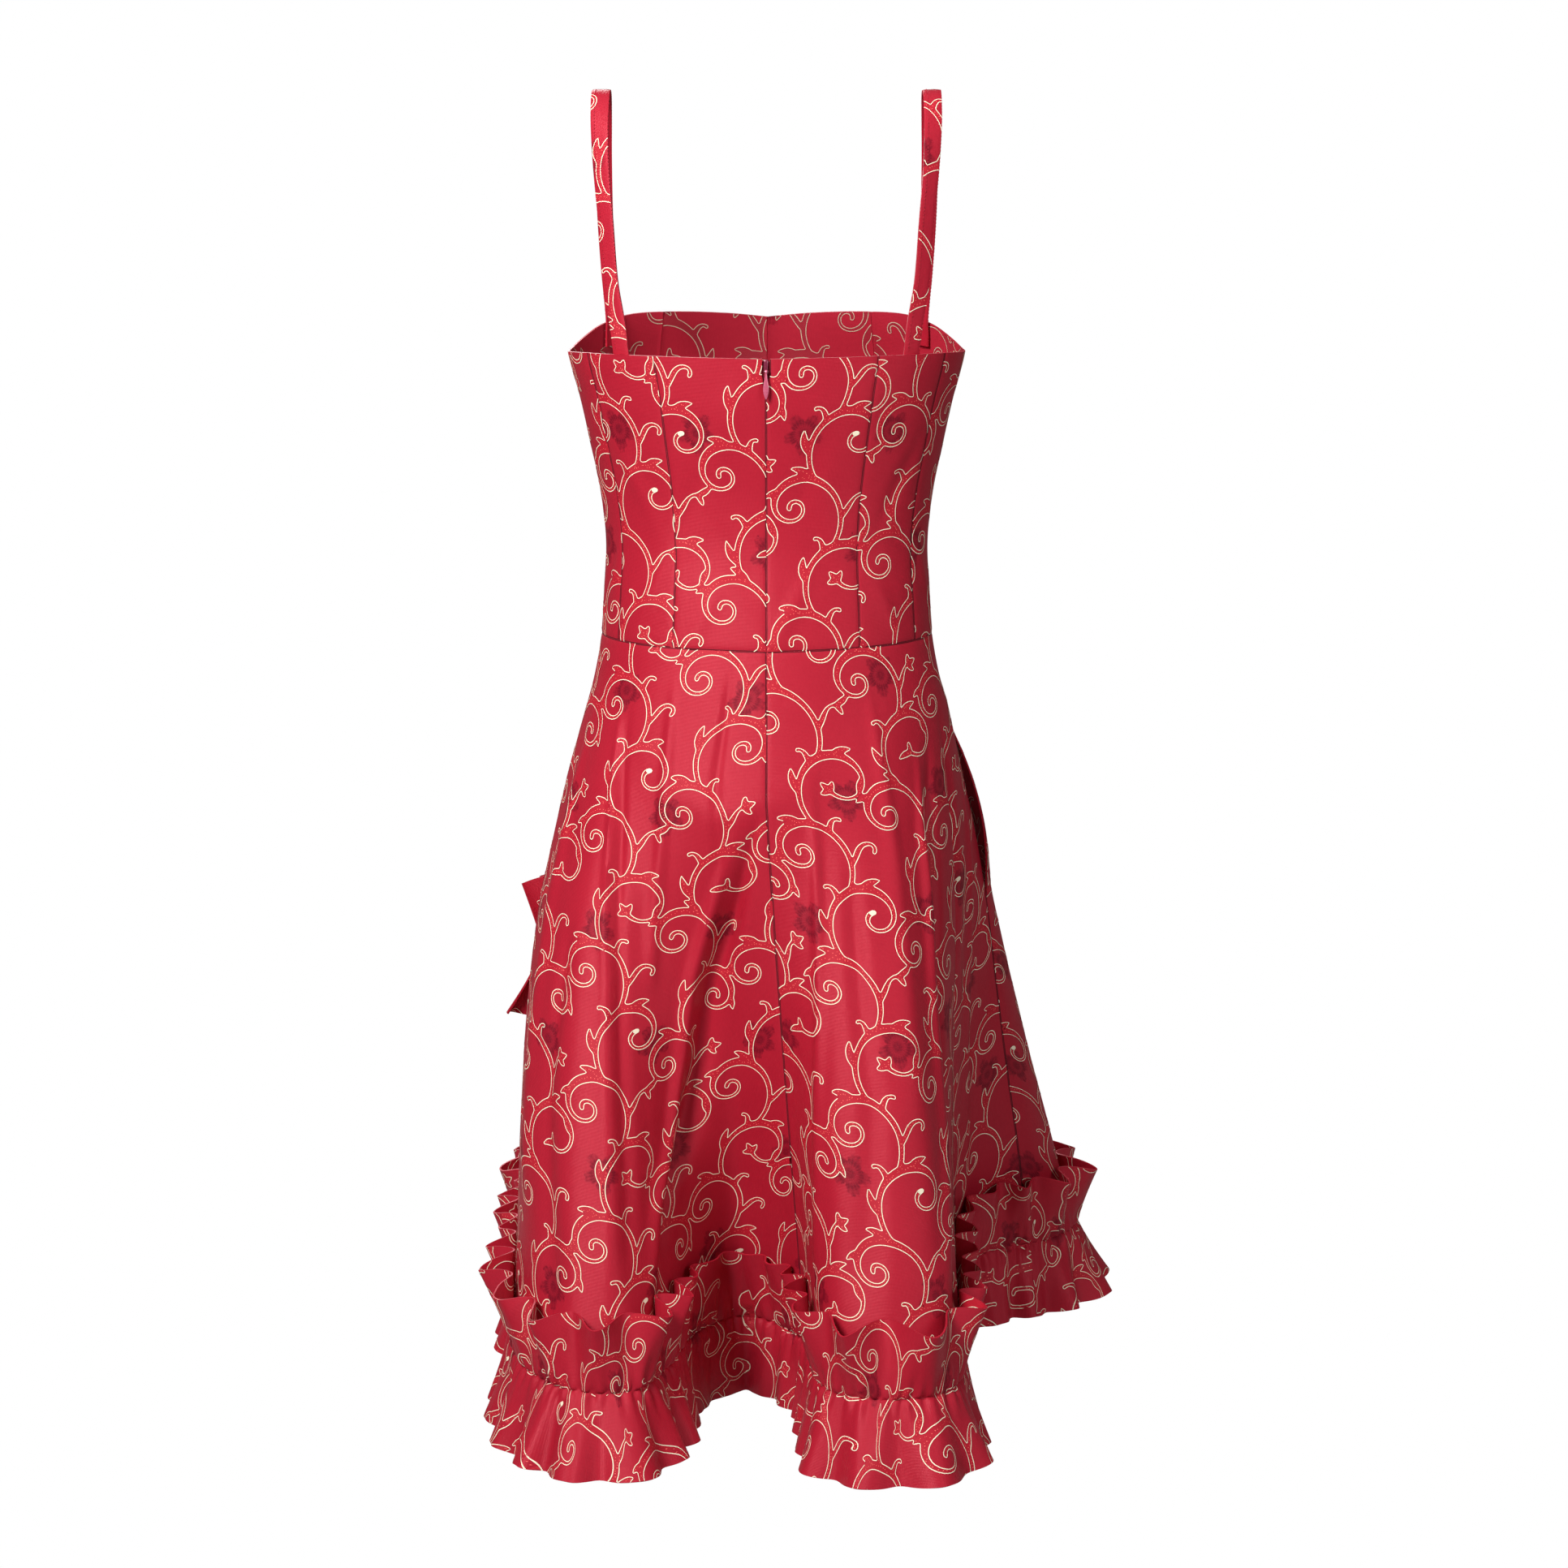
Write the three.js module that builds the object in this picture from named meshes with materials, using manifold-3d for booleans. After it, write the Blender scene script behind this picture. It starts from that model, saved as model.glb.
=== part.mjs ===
// A knee-length sleeveless folk dress of dirndl cut, as worn and hollow, hanging from two narrow straps. The
// bodice is cut in eight panels, the flared skirt in three, and a band gathered through its middle trims the
// hem and the wearer's left hip. A concealed zip closes the centre back.
//
// Millimetres. +Z up, +X to the wearer's right, -Y to the wearer's back. The origin lies midway between the
// undersides of the two straps where they cross the shoulders.

import * as THREE from "three";
import { mergeVertices } from "three/addons/utils/BufferGeometryUtils.js";
import Module from "manifold-3d";

const wasm = await Module();
wasm.setup();

const rad = THREE.MathUtils.degToRad;
const TURN = 2 * Math.PI;
const { clamp, lerp, smoothstep } = THREE.MathUtils;

// Small steps over which directions are measured: an angle, a share of the girth and a height.
const SMALL_TURN = 0.01;
const SMALL_SHARE = 0.0015;
const SMALL_RISE = 6;

// ---- Driving sizes ----

const SEAM_GAP = 0.3;
const BODICE_CLOTH = 1.6; // brocade with a fused interlining
const SKIRT_CLOTH = 1.2;
const RUFFLE_CLOTH = 1.4; // the band is folded double

// Bodice rings: half width, and depth behind and before the side line.
const BODICE_RINGS = [
  { z: -440, side: 134, back: 96, front: 95 },
  { z: -425, side: 132, back: 94, front: 93 },
  { z: -390, side: 129.5, back: 89, front: 89 },
  { z: -350, side: 127.5, back: 84, front: 86 },
  { z: -310, side: 131.5, back: 85, front: 90 },
  { z: -270, side: 139.5, back: 90, front: 97 },
  { z: -235, side: 147, back: 95, front: 102 },
  { z: -200, side: 156, back: 98, front: 101 },
  { z: -165, side: 159, back: 101, front: 97 },
];
const CUP = { at: rad(146), spread: rad(27), z: -226, height: 36, depth: 15 };

// Heights of the neckline and of the waist seam, by the angle from centre back.
const NECKLINE = [
  { at: 0, z: -201 },
  { at: 35, z: -199.5 },
  { at: 62, z: -199 },
  { at: 90, z: -199.5 },
  { at: 101, z: -197.5 },
  { at: 112, z: -191 },
  { at: 124, z: -181 },
  { at: 136, z: -174 },
  { at: 152, z: -172.5 },
  { at: 168, z: -174 },
  { at: 180, z: -177 },
];
const WAIST_SEAM = [
  { at: 0, z: -426.5 },
  { at: 45, z: -425 },
  { at: 90, z: -423 },
  { at: 180, z: -421 },
];

// Seams of the bodice, by the angle from centre back.
const BACK_PRINCESS = rad(33.5);
const SIDE_SEAM = rad(62.5);
const FRONT_PRINCESS = rad(148);

// The bodice's panels, from centre back round by the wearer's right, with the steps across each.
const BODICE_PANELS = [
  { name: "bodice_back_right", from: 0, to: BACK_PRINCESS, steps: 4 },
  { name: "bodice_side_back_right", from: BACK_PRINCESS, to: SIDE_SEAM, steps: 4 },
  { name: "bodice_side_front_right", from: SIDE_SEAM, to: FRONT_PRINCESS, steps: 8 },
  { name: "bodice_front_right", from: FRONT_PRINCESS, to: Math.PI, steps: 5 },
  { name: "bodice_front_left", from: Math.PI, to: TURN - FRONT_PRINCESS, steps: 5 },
  { name: "bodice_side_front_left", from: TURN - FRONT_PRINCESS, to: TURN - SIDE_SEAM, steps: 8 },
  { name: "bodice_side_back_left", from: -SIDE_SEAM, to: -BACK_PRINCESS, steps: 4 },
  { name: "bodice_back_left", from: -BACK_PRINCESS, to: 0, steps: 4 },
];
const BODICE_ROWS = 8;

// The skirt's smooth rings, before the folds: half widths and depths.
const SKIRT_RINGS = [
  { z: -415, left: 131.5, right: 131.5, back: 93, front: 92 },
  { z: -426, left: 132, right: 132, back: 94, front: 93 },
  { z: -458, left: 138, right: 138, back: 101, front: 99 },
  { z: -484, left: 145, right: 146, back: 107, front: 105 },
  { z: -537, left: 160, right: 164, back: 121, front: 118 },
  { z: -591, left: 173, right: 180, back: 136, front: 133 },
  { z: -645, left: 185, right: 192, back: 151, front: 149 },
  { z: -726, left: 195, right: 206, back: 175, front: 172 },
  { z: -809, left: 200, right: 221, back: 199, front: 194 },
  { z: -865, left: 202, right: 232, back: 214, front: 208 },
  { z: -990, left: 206, right: 254, back: 246, front: 238 },
];

// The folded hem at the gathering line, from centre back round by the wearer's right. starts is the height
// where the fold begins to leave the smooth ring, stand how freely the ruffle stands out there.
const HEM = [
  { name: "centre back seam", x: 31, y: -112, starts: -540, stand: 0.5 },
  { name: "right fold, inner wall", x: 38, y: -180, starts: -530, stand: 0.75 },
  { name: "right fold, inner edge", x: 50, y: -228, starts: -500, stand: 0.95 },
  { name: "right fold, crown", x: 94, y: -249, starts: -480, stand: 1 },
  { name: "right fold, outer edge", x: 137, y: -233, starts: -470, stand: 1 },
  { name: "right fold, return", x: 151, y: -182, starts: -460, stand: 0.8 },
  { name: "right wall", x: 150, y: -105, starts: -460, stand: 0.7 },
  { name: "right wall, deep", x: 150, y: -28, starts: -470, stand: 0.6 },
  { name: "right hollow", x: 163, y: 34, starts: -480, stand: 0.45 },
  { name: "side fold, back", x: 200, y: 66, starts: -480, stand: 0.7 },
  { name: "side fold, face", x: 240, y: 86, starts: -470, stand: 0.95 },
  { name: "side fold, corner", x: 264, y: 122, starts: -460, stand: 1 },
  { name: "side fold, front", x: 256, y: 178, starts: -470, stand: 1 },
  { name: "front right, edge", x: 220, y: 224, starts: -500, stand: 0.9 },
  { name: "front right, hollow", x: 160, y: 234, starts: -540, stand: 0.6 },
  { name: "front right, crown", x: 100, y: 254, starts: -540, stand: 1 },
  { name: "centre front, right", x: 38, y: 242, starts: -560, stand: 0.7 },
  { name: "centre front, crown", x: -26, y: 256, starts: -560, stand: 1 },
  { name: "front left, hollow", x: -88, y: 236, starts: -560, stand: 0.6 },
  { name: "front left, crown", x: -150, y: 242, starts: -540, stand: 1 },
  { name: "front left, edge", x: -200, y: 204, starts: -520, stand: 1 },
  { name: "left side, front", x: -216, y: 142, starts: -500, stand: 0.9 },
  { name: "left side, hollow", x: -200, y: 84, starts: -560, stand: 0.7 },
  { name: "left side, crown", x: -207, y: 22, starts: -560, stand: 0.9 },
  { name: "left side, dip", x: -198, y: -44, starts: -600, stand: 0.8 },
  { name: "left side, back", x: -201, y: -116, starts: -560, stand: 0.9 },
  { name: "left fold, outer edge", x: -187, y: -186, starts: -500, stand: 1 },
  { name: "left fold, crown", x: -146, y: -233, starts: -480, stand: 1 },
  { name: "left fold, inner edge", x: -104, y: -232, starts: -500, stand: 0.95 },
  { name: "left fold, inner wall", x: -78, y: -176, starts: -520, stand: 0.75 },
  { name: "centre hollow, left", x: -58, y: -98, starts: -540, stand: 0.4 },
  { name: "centre hollow, floor", x: -18, y: -56, starts: -550, stand: 0.28 },
];
const FOLD_GROWTH = 1.08; // how gradually a fold grows from its start down to the gathers
const FOLD_LIMIT = 1.1; // a fold grows on a little below the gathers
const HEM_STEPS = 24; // steps along the hem's curve between two rows of the table

// Height of the gathering line, by the share of the hem from centre back.
const GATHER_LINE = [
  { at: 0, z: -979 },
  { at: 0.2, z: -972 },
  { at: 0.28, z: -961 },
  { at: 0.5, z: -961 },
  { at: 0.7, z: -966 },
  { at: 0.85, z: -976 },
  { at: 1, z: -979 },
];
const SKIRT_BELOW_GATHERS = 3;
const CURVE_EASE = 0.8; // the band clears the skirt round its tight corners
const SKIRT_SIDE_SEAM = 0.285; // share of the girth from centre back
const POCKET_MOUTH = { top: -490, bottom: -650, opens: 9, width: 0.035 };

// Hem ruffle: each half stands or hangs from the gathering line, leaning out by an angle that swings with the
// waves. overhang is how far each crown leans over sideways.
const HEM_RUFFLE = {
  heading: { length: 62, waves: 44, lean: rad(15), swing: rad(13), overhang: 6 },
  flounce: { length: 63, waves: 54, lean: rad(10.5), swing: rad(8.5), overhang: 3 },
};
const HIP_RUFFLE = {
  z: -696,
  from: 0.605,
  to: 0.7,
  heading: { length: 62, waves: 36, lean: rad(16), swing: rad(11), overhang: 2 },
  flounce: { length: 62, waves: 42, lean: rad(17), swing: rad(10), overhang: 1 },
};

const STRAP = { width: 14, thick: 2.4 };
const ZIP = { bottom: -530, belowTop: 2, notch: 3.1, notchDepth: 32 };
const TAPE = { width: 24, thick: 1, ease: 0.25, stepsAcross: 4, stepsAlong: 20 };

const SKIRT_PANELS = [
  { name: "skirt_back_right", from: 0, to: SKIRT_SIDE_SEAM, steps: 40 },
  { name: "skirt_front", from: SKIRT_SIDE_SEAM, to: 1 - SKIRT_SIDE_SEAM, steps: 48 },
  { name: "skirt_back_left", from: 1 - SKIRT_SIDE_SEAM, to: 1, steps: 40 },
];
const SKIRT_ROWS = 10;

// ---- Small tools ----

// A smooth function through rows: the value of one column against another, level outside the ends.
function through(rows, atKey, key) {
  const sorted = [...rows].sort((p, q) => p[atKey] - q[atKey]);
  const slope = (i) => {
    const p = sorted[Math.max(0, i - 1)];
    const q = sorted[Math.min(sorted.length - 1, i + 1)];
    return (q[key] - p[key]) / (q[atKey] - p[atKey]);
  };
  return (at) => {
    const x = clamp(at, sorted[0][atKey], sorted[sorted.length - 1][atKey]);
    const i = clamp(sorted.findIndex((r) => r[atKey] >= x) - 1, 0, sorted.length - 2);
    const [p, q] = [sorted[i], sorted[i + 1]];
    const span = q[atKey] - p[atKey];
    const t = (x - p[atKey]) / span;
    const [t2, t3] = [t * t, t * t * t];
    return (
      (2 * t3 - 3 * t2 + 1) * p[key] +
      (t3 - 2 * t2 + t) * span * slope(i) +
      (3 * t2 - 2 * t3) * q[key] +
      (t3 - t2) * span * slope(i + 1)
    );
  };
}

// A closed wall of cloth over pointAt(across, along), which gives its middle surface. across runs
// anticlockwise seen from above, along upwards. Both run from 0 to 1 in the given numbers of steps. pointAt
// also answers a step beyond 0 and 1 across, so that neighbouring walls meet squarely.
function clothWall(pointAt, stepsAcross, stepsAlong, thickness) {
  const grid = [];
  for (let i = -1; i <= stepsAcross + 1; i++) {
    const column = [];
    for (let j = 0; j <= stepsAlong; j++) column.push(pointAt(i / stepsAcross, j / stepsAlong));
    grid.push(column);
  }
  const at = (i, j) => grid[i + 1][clamp(j, 0, stepsAlong)];
  const positions = [];
  for (const side of [0.5, -0.5]) {
    for (let i = 0; i <= stepsAcross; i++) {
      for (let j = 0; j <= stepsAlong; j++) {
        const across = at(i + 1, j).clone().sub(at(i - 1, j));
        const along = at(i, j + 1).clone().sub(at(i, j - 1));
        const out = across.cross(along).normalize();
        const p = at(i, j).clone().addScaledVector(out, side * thickness);
        positions.push(p.x, p.y, p.z);
      }
    }
  }
  const rows = stepsAlong + 1;
  const inner = (stepsAcross + 1) * rows;
  const index = [];
  const quad = (a, b, c, d) => index.push(a, b, c, a, c, d);
  for (let i = 0; i < stepsAcross; i++) {
    for (let j = 0; j < stepsAlong; j++) {
      const a = i * rows + j;
      quad(a, a + rows, a + rows + 1, a + 1);
      quad(inner + a, inner + a + 1, inner + a + rows + 1, inner + a + rows);
    }
  }
  for (let i = 0; i < stepsAcross; i++) {
    const [low, high] = [i * rows, i * rows + stepsAlong];
    quad(low, inner + low, inner + low + rows, low + rows);
    quad(high, high + rows, inner + high + rows, inner + high);
  }
  for (let j = 0; j < stepsAlong; j++) {
    const last = stepsAcross * rows + j;
    quad(j, j + 1, inner + j + 1, inner + j);
    quad(last, inner + last, inner + last + 1, last + 1);
  }
  const geometry = new THREE.BufferGeometry();
  geometry.setAttribute("position", new THREE.Float32BufferAttribute(positions, 3));
  geometry.setIndex(index);
  return geometry;
}

// Joins closed geometries into one.
function joined(...geometries) {
  const solids = geometries.map((g) => {
    g.deleteAttribute("normal");
    g.deleteAttribute("uv");
    const merged = mergeVertices(g, 1e-4);
    return new wasm.Manifold(
      new wasm.Mesh({
        numProp: 3,
        vertProperties: new Float32Array(merged.attributes.position.array),
        triVerts: new Uint32Array(merged.index.array),
      }),
    );
  });
  const mesh = solids.reduce((a, b) => a.add(b)).getMesh();
  const geometry = new THREE.BufferGeometry();
  geometry.setAttribute("position", new THREE.BufferAttribute(mesh.vertProperties, 3));
  geometry.setIndex(new THREE.BufferAttribute(mesh.triVerts, 1));
  return geometry;
}

// ---- The worn form ----

const bodiceSide = through(BODICE_RINGS, "z", "side");
const bodiceBack = through(BODICE_RINGS, "z", "back");
const bodiceFront = through(BODICE_RINGS, "z", "front");
const neckHeight = through(NECKLINE, "at", "z");
const waistHeight = through(WAIST_SEAM, "at", "z");
const fromCentreBack = (angle) => Math.acos(Math.cos(angle)); // 0 at centre back to pi at centre front
const neckZ = (angle) => neckHeight(THREE.MathUtils.radToDeg(fromCentreBack(angle)));
const waistZ = (angle) => waistHeight(THREE.MathUtils.radToDeg(fromCentreBack(angle)));

// A point of the bodice, at an angle from centre back towards the wearer's right.
function bodiceAt(angle, z) {
  const depth = Math.cos(angle) > 0 ? bodiceBack(z) : bodiceFront(z);
  const cup =
    CUP.depth *
    Math.exp(-(((fromCentreBack(angle) - CUP.at) / CUP.spread) ** 2) - ((z - CUP.z) / CUP.height) ** 2);
  return new THREE.Vector3(
    (bodiceSide(z) + cup) * Math.sin(angle),
    -(depth + cup) * Math.cos(angle),
    z,
  );
}

// The angle at which a share of the waist's girth has been passed.
const GIRTH_STEPS = 720;
const girthPassed = [0];
for (let i = 1; i <= GIRTH_STEPS; i++) {
  const [p, q] = [i - 1, i].map((k) => bodiceAt((k / GIRTH_STEPS) * TURN, WAIST_SEAM[0].z));
  girthPassed.push(girthPassed[i - 1] + p.distanceTo(q));
}
const WAIST_GIRTH = girthPassed[GIRTH_STEPS];
function angleAtShare(share) {
  const turns = Math.floor(share);
  const length = (share - turns) * WAIST_GIRTH;
  const i = clamp(girthPassed.findIndex((l) => l >= length), 1, GIRTH_STEPS);
  const part = (length - girthPassed[i - 1]) / (girthPassed[i] - girthPassed[i - 1]);
  return ((i - 1 + part) / GIRTH_STEPS + turns) * TURN;
}

// ---- Skirt ----

const ringLeft = through(SKIRT_RINGS, "z", "left");
const ringRight = through(SKIRT_RINGS, "z", "right");
const ringBack = through(SKIRT_RINGS, "z", "back");
const ringFront = through(SKIRT_RINGS, "z", "front");
function skirtRing(angle, z) {
  const side = Math.sin(angle) > 0 ? ringRight(z) : ringLeft(z);
  const depth = Math.cos(angle) > 0 ? ringBack(z) : ringFront(z);
  return new THREE.Vector3(side * Math.sin(angle), -depth * Math.cos(angle), z);
}

const hemCurve = new THREE.CatmullRomCurve3(
  HEM.map((row) => new THREE.Vector3(row.x, row.y, 0)),
  true,
);
hemCurve.arcLengthDivisions = HEM.length * HEM_STEPS;
const hemLengths = hemCurve.getLengths();
const HEM_LENGTH = hemLengths[hemLengths.length - 1];
const hemRows = [...HEM, HEM[0]].map((row, i) => ({ ...row, at: hemLengths[i * HEM_STEPS] / HEM_LENGTH }));
const foldStart = through(hemRows, "at", "starts");
const ruffleStand = through(hemRows, "at", "stand");
const gatherZ = through(GATHER_LINE, "at", "z");
const wrapShare = (share) => share - Math.floor(share);

// A point of the skirt, at a share of the girth from centre back towards the wearer's right.
function skirtAt(share, z) {
  const u = wrapShare(share);
  const angle = angleAtShare(u);
  const folded = hemCurve.getPointAt(u);
  const smooth = skirtRing(angle, gatherZ(u));
  const grown = clamp((foldStart(u) - z) / (foldStart(u) - gatherZ(u)), 0, FOLD_LIMIT) ** FOLD_GROWTH;
  const p = skirtRing(angle, z);
  p.x += (folded.x - smooth.x) * grown;
  p.y += (folded.y - smooth.y) * grown;
  return p;
}

// The front panel stands away from the back one at the wearer's right, where the pocket opens in the seam.
function pocketLift(share, z) {
  const middle = (POCKET_MOUTH.top + POCKET_MOUTH.bottom) / 2;
  const half = (POCKET_MOUTH.top - POCKET_MOUTH.bottom) / 2;
  const down = Math.max(0, 1 - ((z - middle) / half) ** 2);
  const along = (share - SKIRT_SIDE_SEAM) / POCKET_MOUTH.width;
  return along < 0 ? 0 : POCKET_MOUTH.opens * down * Math.exp(-along * along);
}

// Level direction out of the skirt, and the direction up along it.
function skirtFrame(share, z) {
  const across = skirtAt(share + SMALL_SHARE, z).sub(skirtAt(share - SMALL_SHARE, z));
  const out = new THREE.Vector3(across.y, -across.x, 0).normalize();
  const up = skirtAt(share, z + SMALL_RISE).sub(skirtAt(share, z - SMALL_RISE)).normalize();
  return { at: skirtAt(share, z), out, up, across: across.normalize() };
}

// The whole body of the dress as one surface: bodice above the waist seam, skirt below.
function bodyAt(share, z) {
  const angle = angleAtShare(share);
  return z > waistZ(angle) ? bodiceAt(angle, z) : skirtAt(share, z);
}

// ---- Ruffles ----

// Slow swells round the girth that make the waves unlike one another, in their spacing and in their size.
const SPACING_SWELLS = [
  { times: 7, size: 0.8, phase: 0 },
  { times: 13, size: 0.45, phase: 1 },
];
const SIZE_SWELLS = [
  { times: 9, size: 0.16, phase: 2 },
  { times: 16, size: 0.12, phase: 0 },
];
const WAVE_SIZE = 0.86;
const WAVE_CROWN = 0.45; // broadens the crowns and quickens the returns
const swellOf = (row, turn) => row.size * Math.sin(row.times * turn + row.phase);
const swell = (rows, turn) => rows.reduce((sum, row) => sum + swellOf(row, turn), 0);

// The swing of a wave round the girth, outwards and along, each between about -1 and 1.
function wave(share, waves) {
  const turn = TURN * share;
  const angle = waves * turn + swell(SPACING_SWELLS, turn);
  const size = WAVE_SIZE + swell(SIZE_SWELLS, turn);
  return { out: size * Math.sin(angle + WAVE_CROWN * Math.cos(angle)), along: size * Math.cos(angle) };
}

// A point of a gathered band. height runs from -1 at the foot of the flounce, over 0 at the gathers, to 1 at
// the top of the heading; base is the skirt's frame at the gathers.
function gathered(base, half, share, height, stand) {
  const reach = Math.abs(height);
  const swing = wave(share, half.waves);
  const lean = (half.lean + half.swing * swing.out) * stand;
  const length = half.length * reach;
  const level = base.out;
  const down = base.up.clone().negate();
  const slope = Math.max(0, down.dot(level));
  const hang = new THREE.Vector3(0, 0, -1).addScaledVector(level, slope).normalize();
  const run = height > 0 ? base.up : hang;
  return base.at
    .clone()
    .addScaledVector(level, (SKIRT_CLOTH + RUFFLE_CLOTH) / 2 + SEAM_GAP + CURVE_EASE)
    .addScaledVector(run, length * Math.cos(lean))
    .addScaledVector(level, length * Math.sin(lean))
    .addScaledVector(base.across, half.overhang * reach * swing.along * stand * stand);
}

// The place at the gathering line on the skirt's flat facets, which the band is sewn along.
function sewingLineAt(anyShare) {
  const share = wrapShare(anyShare);
  const panel = SKIRT_PANELS.find((p) => share <= p.to);
  const step = (panel.to - panel.from) / panel.steps;
  const low = panel.from + step * clamp(Math.floor((share - panel.from) / step), 0, panel.steps - 1);
  const high = low + step;
  return skirtAt(low, gatherZ(low)).lerp(skirtAt(high, gatherZ(high)), (share - low) / step);
}

function hemRuffleAt(share, height) {
  const half = height > 0 ? HEM_RUFFLE.heading : HEM_RUFFLE.flounce;
  const base = skirtFrame(share, gatherZ(wrapShare(share)));
  base.at = sewingLineAt(share);
  return gathered(base, half, share, height, ruffleStand(wrapShare(share)));
}

function hipRuffleAt(part, height) {
  const share = lerp(HIP_RUFFLE.from, HIP_RUFFLE.to, part);
  const half = height > 0 ? HIP_RUFFLE.heading : HIP_RUFFLE.flounce;
  return gathered(skirtFrame(share, HIP_RUFFLE.z), half, share, height, 1);
}

// ---- The dress ----

const dress = new THREE.Group();
const brocade = new THREE.MeshStandardMaterial({ color: 0xb81f33, roughness: 0.55, metalness: 0 });
const enamel = new THREE.MeshStandardMaterial({ color: 0xb4586c, roughness: 0.35, metalness: 0.6 });
const tape = new THREE.MeshStandardMaterial({ color: 0x8a1526, roughness: 0.8, metalness: 0 });

function add(name, geometry, material = brocade) {
  geometry.computeVertexNormals();
  const mesh = new THREE.Mesh(geometry, material);
  mesh.name = name;
  dress.add(mesh);
}

// How far each centre back edge stands from the seam line: the zip's notch at the top, then the seam.
function centreBackInset(z) {
  const open = smoothstep(z, neckZ(0) - ZIP.notchDepth, neckZ(0) - ZIP.notchDepth / 3);
  return SEAM_GAP / 2 + (ZIP.notch - SEAM_GAP / 2) * open;
}

// A bodice panel between two seam angles, its edges set in from the seams.
function bodicePanel(name, from, to, steps) {
  const inset = (angle, z) => (angle === 0 ? centreBackInset(z) : SEAM_GAP / 2);
  const perTurn = (angle, z) =>
    bodiceAt(angle + SMALL_TURN, z).distanceTo(bodiceAt(angle - SMALL_TURN, z)) / (2 * SMALL_TURN);
  const turnFor = (distance, angle, z) => distance / perTurn(angle, z);
  add(
    name,
    clothWall(
      (across, along) => {
        const straight = lerp(from, to, across);
        const z = lerp(waistZ(straight) + SEAM_GAP / 2, neckZ(straight), along);
        const low = from + turnFor(inset(from, z), from, z);
        const high = to - turnFor(inset(to, z), to, z);
        return bodiceAt(lerp(low, high, across), z);
      },
      steps,
      BODICE_ROWS,
      BODICE_CLOTH,
    ),
  );
}
for (const { name, from, to, steps } of BODICE_PANELS) bodicePanel(name, from, to, steps);

// A skirt panel between two shares of the girth, its edges half a seam gap in.
function skirtPanel(name, from, to, steps) {
  const isFront = name === "skirt_front";
  add(
    name,
    clothWall(
      (across, along) => {
        const share = lerp(from, to, across);
        const low = gatherZ(share) - SKIRT_BELOW_GATHERS;
        const z = lerp(low, waistZ(angleAtShare(share)) - SEAM_GAP / 2, along);
        const p = skirtAt(share, z);
        if (isFront) p.addScaledVector(skirtFrame(share, z).out, pocketLift(share, z));
        if (across === 0) p.addScaledVector(skirtFrame(share, z).across, SEAM_GAP / 2);
        if (across === 1) p.addScaledVector(skirtFrame(share, z).across, -SEAM_GAP / 2);
        return p;
      },
      steps,
      SKIRT_ROWS,
      SKIRT_CLOTH,
    ),
  );
}
for (const { name, from, to, steps } of SKIRT_PANELS) skirtPanel(name, from, to, steps);

// A strip of the hem ruffle between two shares.
const RUFFLE_HEIGHTS = [-1, 0, 1]; // foot of the flounce, gathers, top of the heading
const RUFFLE_STRIPS = [
  { name: "hem_ruffle_back_right", from: 0, to: SKIRT_SIDE_SEAM, steps: 92 },
  { name: "hem_ruffle_front_right", from: SKIRT_SIDE_SEAM, to: 0.5, steps: 68 },
  { name: "hem_ruffle_front_left", from: 0.5, to: 1 - SKIRT_SIDE_SEAM, steps: 68 },
  { name: "hem_ruffle_back_left", from: 1 - SKIRT_SIDE_SEAM, to: 1, steps: 92 },
];
const HIP_STEPS = 28;
function ruffleStrip(name, from, to, steps) {
  const inset = SEAM_GAP / HEM_LENGTH;
  add(
    name,
    clothWall(
      (across, along) => {
        const height = RUFFLE_HEIGHTS[Math.round(along * (RUFFLE_HEIGHTS.length - 1))];
        return hemRuffleAt(lerp(from + inset, to - inset, across), height);
      },
      steps,
      RUFFLE_HEIGHTS.length - 1,
      RUFFLE_CLOTH,
    ),
  );
}
for (const { name, from, to, steps } of RUFFLE_STRIPS) ruffleStrip(name, from, to, steps);

add(
  "hip_ruffle",
  clothWall((across, along) => hipRuffleAt(across, 2 * along - 1), HIP_STEPS, 2, RUFFLE_CLOTH),
);

// ---- Straps ----

const SEWN_IN = BODICE_CLOTH / 2 + SEAM_GAP + STRAP.thick / 2;
const ROOT_EASE = { back: 0.6, front: 1.9 }; // the wall curves across the strap's width
const BACK_ROOT = rad(46.5);
const FRONT_ROOT = rad(127.5);
const STRAP_STEPS = 34;

// A place just inside the bodice where a strap is sewn, and the turn of its width that lies along the wall.
function sewnIn(angle, z, ease) {
  const across = bodiceAt(angle + SMALL_TURN, z).sub(bodiceAt(angle - SMALL_TURN, z)).normalize();
  const along = bodiceAt(angle, z + 1).sub(bodiceAt(angle, z - 1));
  const out = across.clone().cross(along).normalize();
  const at = bodiceAt(angle, z).addScaledVector(out, -SEWN_IN - ease);
  return { x: at.x, y: at.y, z: at.z, turn: THREE.MathUtils.radToDeg(Math.atan(across.y / across.x)) };
}

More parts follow.
